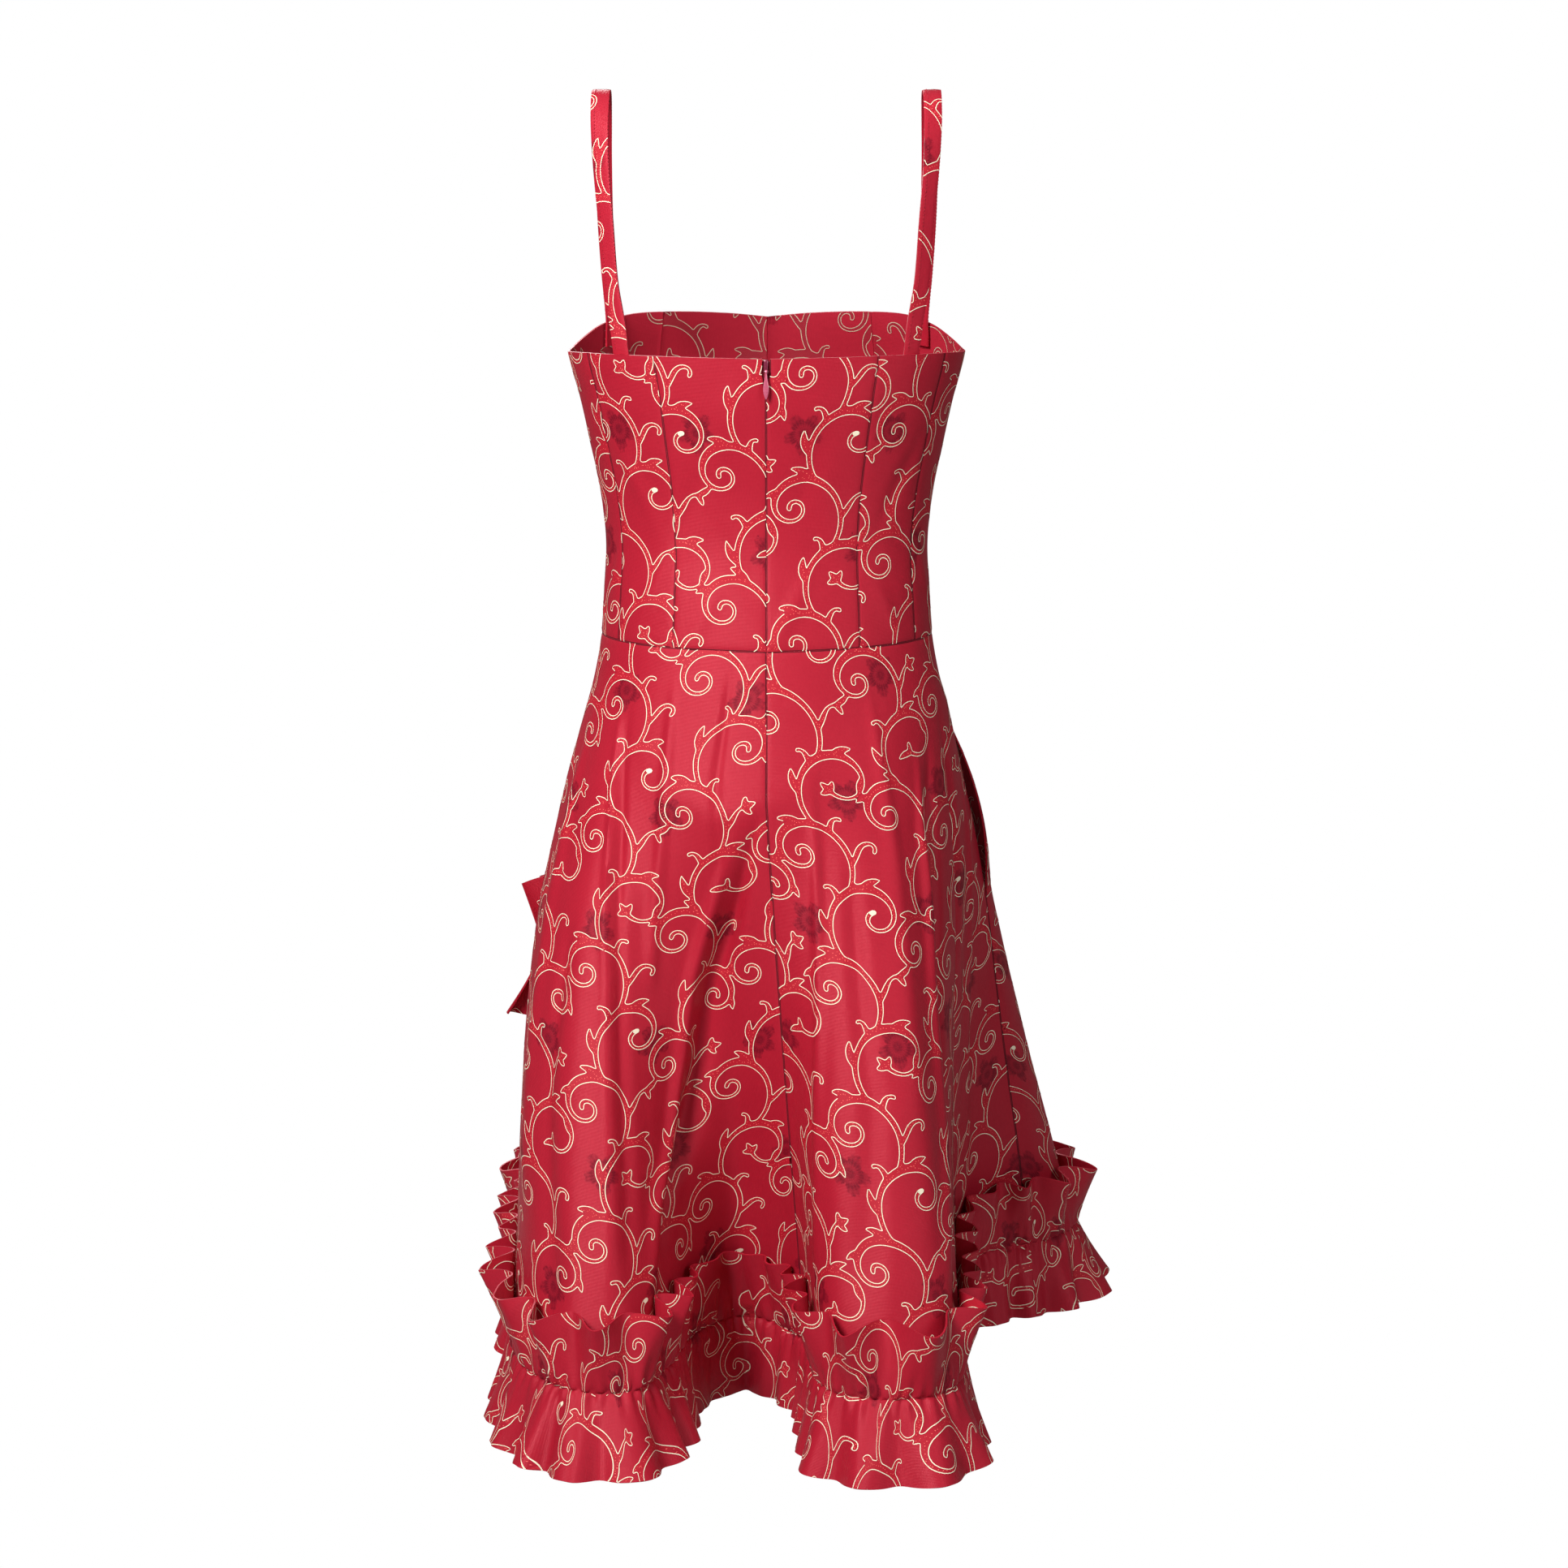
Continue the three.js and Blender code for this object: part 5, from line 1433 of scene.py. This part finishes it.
def joined_object(name, parts, material, body="dress"):
    """Several closed forms as one object, riding on a body of the frame."""
    verts, faces, count = [], [], 0
    for points, polys in parts:
        verts.append(points)
        faces += [tuple(count + k for k in poly) for poly in polys]
        count += len(points)
    made = new_object(name, np.vstack(verts), faces, [material])
    made.data.set_sharp_from_angle(angle=math.radians(60))
    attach(made, body)
    return made


print("a ring has", len(oval(1, 1, 0)), "points")

# %% Slider
SLIDER = dict(width=3.9, thick=2.4, top=neck_z(0) - .5)
SLIDER_RINGS = [  # share of the width, share of the thickness, below the top
    (.6, .5, 0), (.92, .85, .35), (1, 1, 1.1), (.97, 1, 3), (.84, .96, 6), (.8, .95, 8.6), (.72, .8, 9.6), (.5, .5, 10)]
LUG = dict(thick=.4, deep=1.3, inset=.42, stands=.9, rings=((.5, -1.1), (1, -.7), (1, .7), (.5, 1.1)))
BAR_RADIUS, BAR_INSET = .45, .2
slider_y = -(bodice["back"](SLIDER["top"] - 4) - BODICE_CLOTH / 2) + .2
PIVOT_Y, PIVOT_Z = slider_y - SLIDER["thick"] - 1.6, SLIDER["top"] - 9

w, d = SLIDER["width"] / 2, SLIDER["thick"] / 2
parts = [lofted([oval(w * a, d * b, SLIDER["top"] - h, slider_y - d) for a, b, h in SLIDER_RINGS][::-1])]
for hand in (-1, 1):
    parts.append(lofted([oval(LUG["thick"], LUG["deep"] * a, PIVOT_Z + h, slider_y - SLIDER["thick"] - LUG["stands"],
                              hand * (w - LUG["inset"])) for a, h in LUG["rings"]]))
bar = oval(BAR_RADIUS, BAR_RADIUS, 0, power=2, count=12)
parts.append(lofted([np.stack([0 * bar[:, 0] + x, bar[:, 1] + PIVOT_Y, bar[:, 0] + PIVOT_Z], 1)
                     for x in (-w + BAR_INSET, w - BAR_INSET)]))
slider = joined_object("slider", parts, dark_enamel)
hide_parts("zip_slider")
print("slider parts", len(parts))

# %% Pull
DROP = [  # half width, half thickness, below the pivot
    (.8, .55, -1.2), (.95, .62, -3), (1.3, .68, -6), (1.85, .74, -9), (2.25, .74, -12), (2.25, .7, -14.5),
    (1.85, .62, -17), (1.2, .5, -19.2), (.55, .32, -20.6), (.15, .12, -21)]
EYE = dict(radius=1.1, half_wide=.95, half_thick=.34, steps=20, around=8)
eye_verts = [(EYE["half_wide"] * math.cos(q), PIVOT_Y + (EYE["radius"] + EYE["half_thick"] * math.sin(q)) * math.cos(p),
              PIVOT_Z + (EYE["radius"] + EYE["half_thick"] * math.sin(q)) * math.sin(p))
             for p in np.linspace(0, 2 * np.pi, EYE["steps"] + 1)[:-1]
             for q in np.linspace(0, 2 * np.pi, EYE["around"] + 1)[:-1]]
eye_faces = [tuple(k % len(eye_verts) for k in face)
             for face in tube_faces(EYE["steps"] + 1, EYE["around"], capped=False)]
pull = joined_object("pull", [lofted([oval(a, b, PIVOT_Z + h, PIVOT_Y, power=2.2) for a, b, h in DROP][::-1]),
                              (np.array(eye_verts), eye_faces)], enamel, "pull")
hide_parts("zip_pull")
print("pull %.0f mm long" % -DROP[-1][2])

# %% Coil
COIL = dict(teeth=17, pitch=1.25, below_top=10.6, off_centre=.42, rings=(-.42, -.2, .2, .42))
teeth = []
for k in range(COIL["teeth"]):
    z = SLIDER["top"] - COIL["below_top"] - k * COIL["pitch"]
    y = -float(bodice["back"](z)) + BODICE_CLOTH / 2 - .2
    side = -1 if k % 2 else 1
    teeth.append(lofted([oval(.95, .62, z + h, y, side * COIL["off_centre"], 2, 10) for h in COIL["rings"]]))
joined_object("zip_coil", teeth, coil_finish)
print("coil teeth", len(teeth))

# %% [markdown]
# ## Cut sizes
# Each piece of cloth's flat size, as it was cut, is measured on its own grid. Gathered bands are
# longer flat than the line that they are sewn to.

HELD = {  # how each kind of piece is held, and what it hangs from
    "bodice": ("hung", ["cloth_strap_right", "cloth_strap_left"]),
    "skirt": ("hung", ["cloth_bodice_back_right", "cloth_bodice_back_left"]),
    "hem": ("gathered", ["cloth_skirt_back_right", "cloth_skirt_front", "cloth_skirt_back_left"]),
    "hip": ("gathered", ["cloth_skirt_front"]),
    "strap": ("stretched", ["cloth_bodice_side_back_right", "cloth_bodice_side_back_left"])}
for name, piece in made_cloth.items():
    wide, long, area = flat_cut[name]
    held, rests_on = HELD[name.split("_")[0]]
    area = None if area is None else min(area, wide * long)
print("sheets", len(made_cloth))

# %% [markdown]
# ## Studio
# A pale floor in a white room, and large soft lights: three from the camera's side and above, one behind. Satin
# needs broad lights, because their reflections are the soft bright bands on the folds.

# %% Floor and room
# Both look white to the camera, while the dress sees only a grey floor and a dim room.
FLOOR_Z, FLOOR_HALF_X, FLOOR_HALF_Y = -1460, 5000, 4500
FLOOR_GREY, ROOM_LIGHT = (.34, .33, .33, 1), .11
paper, n, shader = finish_of("white paper", roughness=.9, specular=.1)
shader["Base Color"].default_value = FLOOR_GREY
seen = n.add("ShaderNodeLightPath").outputs["Is Camera Ray"]
glow = n.add("ShaderNodeEmission", {"Color": PLAIN_WHITE, "Strength": 1.0}).outputs[0]
surface = n.add("ShaderNodeMixShader", {0: seen, 1: n.tree.nodes["Principled BSDF"].outputs[0], 2: glow}).outputs[0]
n.link(surface, n.tree.nodes["Material Output"].inputs["Surface"])
corners = [(x * FLOOR_HALF_X, y * FLOOR_HALF_Y, FLOOR_Z) for x, y in ((-1, -1), (1, -1), (1, 1), (-1, 1))]
floor = new_object("floor", corners, [(0, 1, 2, 3)], [paper])

world = bpy.data.worlds.new("studio")
bpy.context.scene.world = world
world.use_nodes = True
n = Nodes(world.node_tree)
room = world.node_tree.nodes["Background"]
room.inputs[0].default_value, room.inputs[1].default_value = PLAIN_WHITE, ROOM_LIGHT
white = n.add("ShaderNodeBackground", {"Color": PLAIN_WHITE, "Strength": 1.0}).outputs[0]
seen = n.add("ShaderNodeLightPath").outputs["Is Camera Ray"]
n.link(n.add("ShaderNodeMixShader", {0: seen, 1: room.outputs[0], 2: white}).outputs[0],
       n.tree.nodes["World Output"].inputs["Surface"])
bpy.context.scene.view_settings.view_transform = "Standard"
print("floor and room ready")

# %% Lights
def softbox(name, location, aim, size, power, spread=180):
    """A large rectangular light at a place, turned to what it lights. Power is in watts, spread in degrees."""
    light = bpy.data.lights.new(name, "AREA")
    light.shape = "RECTANGLE"
    light.size, light.size_y = size
    light.energy = power
    light.spread = math.radians(spread)
    lamp = bpy.data.objects.new(name, light)
    lamp.location = location
    direction = np.array(aim) - np.array(location)
    lamp.rotation_euler = (math.atan2(math.hypot(*direction[:2]), -direction[2]), 0,
                           math.atan2(direction[1], direction[0]) - math.pi / 2)
    bpy.context.scene.collection.objects.link(lamp)


softbox("key", (-1.25, -2.1, 1.15), (0, 0, -.15), (.9, .9), 51, 125)
softbox("fill", (1.9, -2.0, .3), (0, 0, -.5), (.9, 1.4), 21)
softbox("top", (0, -.5, 2.0), (0, .1, -.5), (1.6, 1.6), 14)
softbox("behind", (-.8, 2.4, .8), (0, 0, -.5), (1.4, 1.4), 40)
print("lights", len(bpy.data.lights))

# %% Measure and finish
counts = {o.name: sum(len(f.vertices) - 2 for f in o.data.polygons) for o in bpy.data.objects
          if o.type == "MESH" and not o.hide_render}
print("triangles in all", sum(counts.values()), "most in one piece", max(counts.items(), key=lambda item: item[1]))
